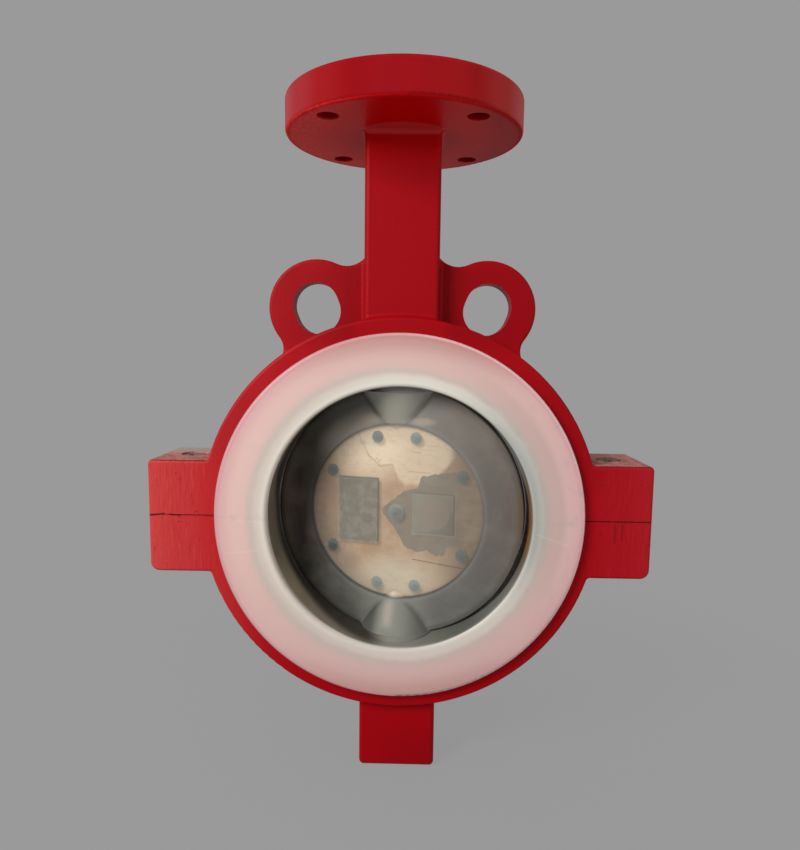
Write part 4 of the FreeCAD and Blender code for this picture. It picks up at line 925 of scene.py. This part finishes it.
def plug_finish():
    """Blue-grey plastic in the dimples, a little darker at the lower left."""
    plug = Finish("plug_polymer", turn=REST_TURN)
    height = plug.size(plug.z)
    colour = plug.mix(plug.ease(height, 26, 36), (112, 120, 115), (150, 157, 150))
    lower_left = plug.both(plug.ease(plug.x, -20, -30), plug.ease(plug.z, 8, -8))
    colour = plug.mix(lower_left, colour, (86, 95, 91))
    colour = plug.mix(plug.ease(plug.length(plug.x, plug.z), 10, 6), colour, (146, 151, 144))
    colour = plug.wash(colour, plug.ease(plug.noise(1.6, detail=3), 0.45, 0.7), 0.3, (132, 136, 128))
    return plug.set(Base_Color=colour, Roughness=plug.scaled(plug.noise(2.4), 0.3, 0.7, 0.45, 0.55))


skin_material, plug_material = clear_skin(), plug_finish()
print("skin nodes:", len(skin_material.node_tree.nodes), "plug nodes:", len(plug_material.node_tree.nodes))


# %% [markdown]
# The metal below is warm and worn. A painted reflection, pale with a bright spot, covers its upper
# part down to a ragged edge, which is a height read along the width, and a grey-brown stain spreads
# over its right half. The oblong and the square recess with painted shade and highlights at their
# edges, the scratches and the bare shaft's steel follow. Beyond the middle the metal is painted dark
# as a painted reflection.

# %% The metal's finish
REFLECTION_EDGE = [(-23, 46), (-20, 38), (-16, 30.5), (-9.7, 24.8), (-5, 25.4), (-2, 26.0), (1, 19), (5, 15.5), (14, 16),
             (23, 21), (28, 26), (34, 34), (40, 44)]
STAIN_TOP = [(-8.2, 0), (-7.4, 2), (-0.3, 7.6), (3.8, 11.3), (12.4, 13.8), (13.8, 20), (24.6, 22.6), (33.3, 23.6),
             (38, 24.5), (42, 20), (48, 19)]
STAIN_FOOT = [(-8.2, 0), (-7, -2.6), (-1, -9), (3.2, -15.8), (4.6, -19.6), (13, -22.4), (17, -20.6), (23, -23.6),
              (27.4, -23), (28.6, -18.6), (36, -17.4), (43, -14), (48, -12)]


def metal_tone(metal, x, z):
    """Tan metal: a painted reflection above with a bright spot and a darker line along its ragged edge, a pale patch
    below, dark towards the left edge, dull to the right.
    """
    ease = metal.ease
    colour = metal.mix(ease(metal.noise(11, detail=5), 0.3, 0.7), (180, 146, 114), (198, 168, 136))
    # Painted reflection over the upper part, down to a ragged edge.
    lower_edge = metal.outline(x, REFLECTION_EDGE)
    over = metal.less(metal.plus(z, metal.ragged(6, 1.2)), lower_edge)
    right_end = ease(metal.plus(x, metal.ragged(5, 2.0, shift=4.0)), 35, 28)
    pale = metal.both(ease(over, -2.2, 1.8), right_end)
    border = metal.both(ease(metal.away(over, 0.0), 0.9, 0.2), ease(x, 2, -4))
    worn = ease(metal.noise(3.2, detail=5, shift=11.0), 0.52, 0.7)
    return metal.layers(colour, [
        (ease(x, -24, -49), 0.85, (120, 96, 76)),
        (ease(x, 14, 44), 0.85, (134, 118, 102)),
        (ease(metal.plus(x, z), -38, -70), 0.7, (112, 98, 84)),
        (metal.spot(x, z, (1, -38), (20, 11), soft=0.7), 0.75, (214, 204, 180)),
        (pale, 0.75, (230, 210, 180)),
        # Painted highlight: the reflection's bright spot.
        (metal.spot(x, z, (-18, 35), (17, 16), soft=0.8), 0.85, (255, 232, 200)),
        (border, 0.45, (170, 134, 102)),
        (worn, 0.22, (178, 150, 122))])


def add_stain(metal, colour, x, z):
    """Grey-brown stain between a ragged upper and lower edge."""
    ease, wash = metal.ease, metal.wash
    upper = metal.outline(x, STAIN_TOP)
    lower = metal.outline(x, STAIN_FOOT)
    rough = metal.plus(z, metal.ragged(2.2, 1.5))
    inside = metal.both(ease(metal.less(rough, upper), 0.3, -0.3), ease(metal.less(rough, lower), -0.3, 0.3),
                        ease(x, -8.4, -7.6))
    tone = metal.mix(ease(x, 30, 40), (134, 126, 112), (158, 138, 116))
    streaks = ease(metal.noise(3, detail=4, stretch=(4, 1, 1)), 0.45, 0.7)
    clouds = ease(metal.noise(8, detail=4, shift=5.0), 0.4, 0.65)
    tone = wash(tone, streaks, 0.3, (118, 108, 96))
    tone = wash(tone, clouds, 0.35, (112, 106, 94))
    return wash(colour, inside, 0.9, tone)


def add_seat(metal, colour, x, z):
    """Square recess: painted shade along its outline, a painted highlight along its lower right edge, the boss's
    painted shadow in its lower right corner, and the boss.
    """
    ease = metal.ease
    square = metal.either(metal.away(x, SEAT_MIDDLE), metal.size(z))
    lower_right = metal.less(x, z)
    bright = metal.both(ease(metal.away(square, 12.0), 0.6, 0.1), ease(lower_right, 18, 24))
    boss = metal.length(metal.less(x, SEAT_MIDDLE), z)
    corner = metal.both(ease(square, 11.2, 10.8), ease(boss, 8.6, 9.2), ease(lower_right, 27, 33))
    # Painted shade along the outline, a painted highlight at the lower right edge, and the boss's painted shadow.
    return metal.layers(colour, [
        (ease(metal.away(square, 11.0), 0.9, 0.1), 0.5, (100, 94, 82)),
        (bright, 0.3, (176, 164, 144)),
        (corner, 0.5, (92, 88, 78)),
        (ease(boss, 8.8, 8.2), 0.65, (146, 127, 106))])


def add_panel(metal, colour, x, height):
    """Oblong recess: mottled grey, with painted shade along its border."""
    ease = metal.ease
    panel = metal.both(ease(metal.away(x, PANEL_MIDDLE), 12.1, 11.1), ease(height, 18.7, 17.7))
    mottle = ease(metal.noise(4, detail=4), 0.35, 0.7)
    from_side = metal.either(metal.away(x, PANEL_MIDDLE), metal.less(height, 6.6))
    colour = metal.wash(colour, panel, 0.95, metal.mix(mottle, (118, 111, 99), (134, 127, 114)))
    # Painted shade along the recess's border.
    return metal.wash(colour, metal.both(panel, ease(from_side, 9.8, 11.4)), 0.55, (92, 88, 78))


def disc_metal():
    """The plateau's metal, its stain, recesses and scratches, the grey back, the slope painted dark as a painted
    reflection, and the bare shaft.
    """
    metal = Finish("disc_metal", turn=REST_TURN)
    both, ease, wash = metal.both, metal.ease, metal.wash
    x, z = metal.x, metal.z
    reach, height = metal.length(x, z), metal.size(z)
    grain = metal.noise(1.8, detail=5, stretch=(5, 1, 1), warp=0.4)
    colour = wash(metal_tone(metal, x, z), ease(grain, 0.5, 0.75), 0.22, (166, 134, 106))
    colour = add_stain(metal, colour, x, z)
    colour = add_seat(metal, colour, x, z)
    colour = add_panel(metal, colour, x, height)
    deep = both(ease(metal.y, -7.9, -7.4), ease(reach, PLATEAU_RADIUS - 1.0, PLATEAU_RADIUS - 2.0))
    back = both(ease(metal.y, -6.7, -6.2), deep)
    colour = metal.mix(back, colour, (120, 118, 106))

    scratch = metal.line(x, z, (9.0, -26.4), (38.5, -29.4), 0.45)
    for first, last in (((6.5, 22.8), (20, 22.4)), ((-9, 0.2), (-14, -0.3)),
                        ((-12, 30), (-9, 26)), ((8, 34), (14, 33))):
        scratch = metal.either(scratch, both(metal.line(x, z, first, last, 0.4), 0.5))
    rim = ease(reach, PLATEAU_RADIUS - 1.0, PLATEAU_RADIUS - 0.2)
    slope = ease(reach, PLATEAU_RADIUS, PLATEAU_RADIUS + 0.6)
    colour = metal.layers(colour, [
        (scratch, 0.7, (96, 80, 66)),
        (metal.specks(9, 0.3), 0.5, (96, 70, 54)),
        (rim, 0.4, (120, 112, 100))])
    # Painted reflection: the metal beyond the middle painted dark grey.
    colour = metal.mix(slope, colour, (70, 68, 62))
    shaft = ease(height, 70, 72)
    turned = ease(metal.noise(1.5, detail=4, stretch=(1, 1, 0.2)), 0.4, 0.6)
    colour = metal.mix(shaft, colour, metal.mix(turned, (150, 148, 142), (176, 174, 168)))
    return metal.set(Base_Color=colour, Roughness=0.46, Normal=metal.bump(grain, 0.03), Metallic=both(shaft, 0.9))


metal_material = disc_metal()
print("metal nodes:", len(metal_material.node_tree.nodes))


# %% [markdown]
# The made pieces turn with the disc, the skin in place of the solid lining. The plates carry the
# metal's own look, since the plastic over the recesses is thin.

# %% Put the disc together
disc_skin.data.materials.append(skin_material)
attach(disc_skin, "disc")
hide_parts("disc_lining")
dimple_plugs.data.materials.append(plug_material)
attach(dimple_plugs, "disc")
recess_fills.data.materials.append(metal_material)
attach(recess_fills, "disc")
print("pieces on the disc:", [piece.name for piece in (disc_skin, dimple_plugs, recess_fills)])


# %% [markdown]
# The rest are small turned or moulded parts, mostly hidden inside: steel, bronze, rubber and pale
# plastic. Each gets the fine turning marks or grain that its kind has. The record names a material
# slot for each node, so handing the finishes out is one loop.

# %% Small parts, and a finish for every node
def small_part(name, dark, light, roughness, metallic=0.0, stretch=(1, 1, 0.15), depth=0.02):
    """Two tones mixed by a fine noise, drawn out round the part, with a faint relief."""
    finish = Finish(name)
    marks = finish.noise(1.4, detail=4, stretch=stretch)
    cloud = finish.noise(6, detail=4)
    tone = finish.plus(finish.both(marks, 0.5), finish.both(cloud, 0.5))
    colour = finish.mix(finish.ease(tone, 0.35, 0.65), dark, light)
    rough = finish.scaled(cloud, 0.3, 0.7, roughness - 0.06, roughness + 0.06)
    return finish.set(Base_Color=colour, Roughness=rough, Normal=finish.bump(marks, depth), Metallic=metallic)


EVEN = (1, 1, 1)
finishes = {"red_paint": paint_material, "liner_polymer": liner_material, "stem_metal": metal_material}
for slot, dark, light, roughness, options in (
        ("screw_steel", (92, 96, 84), (146, 148, 134), 0.45, {"metallic": 0.6}),
        ("stainless", (150, 150, 146), (186, 186, 182), 0.34, {"metallic": 0.9}),
        ("seal_rubber", (24, 24, 25), (38, 38, 39), 0.6, {"stretch": EVEN}),
        ("bush_bronze", (140, 104, 58), (178, 138, 84), 0.4, {"metallic": 0.85}),
        ("packing_polymer", (214, 212, 204), (232, 230, 224), 0.42, {"stretch": EVEN}),
        ("backing_rubber", (196, 192, 182), (214, 210, 200), 0.7, {"stretch": EVEN})):
    finishes[slot] = small_part(slot, dark, light, roughness, **options)

for subpart in frame["record"]["subparts"]:
    finish = finishes.get(subpart["material_slot"])
    if finish is not None:
        mesh = nodes[subpart["node"]].data
        mesh.materials.clear()
        mesh.materials.append(finish)
        print(subpart["node"], "->", finish.name)
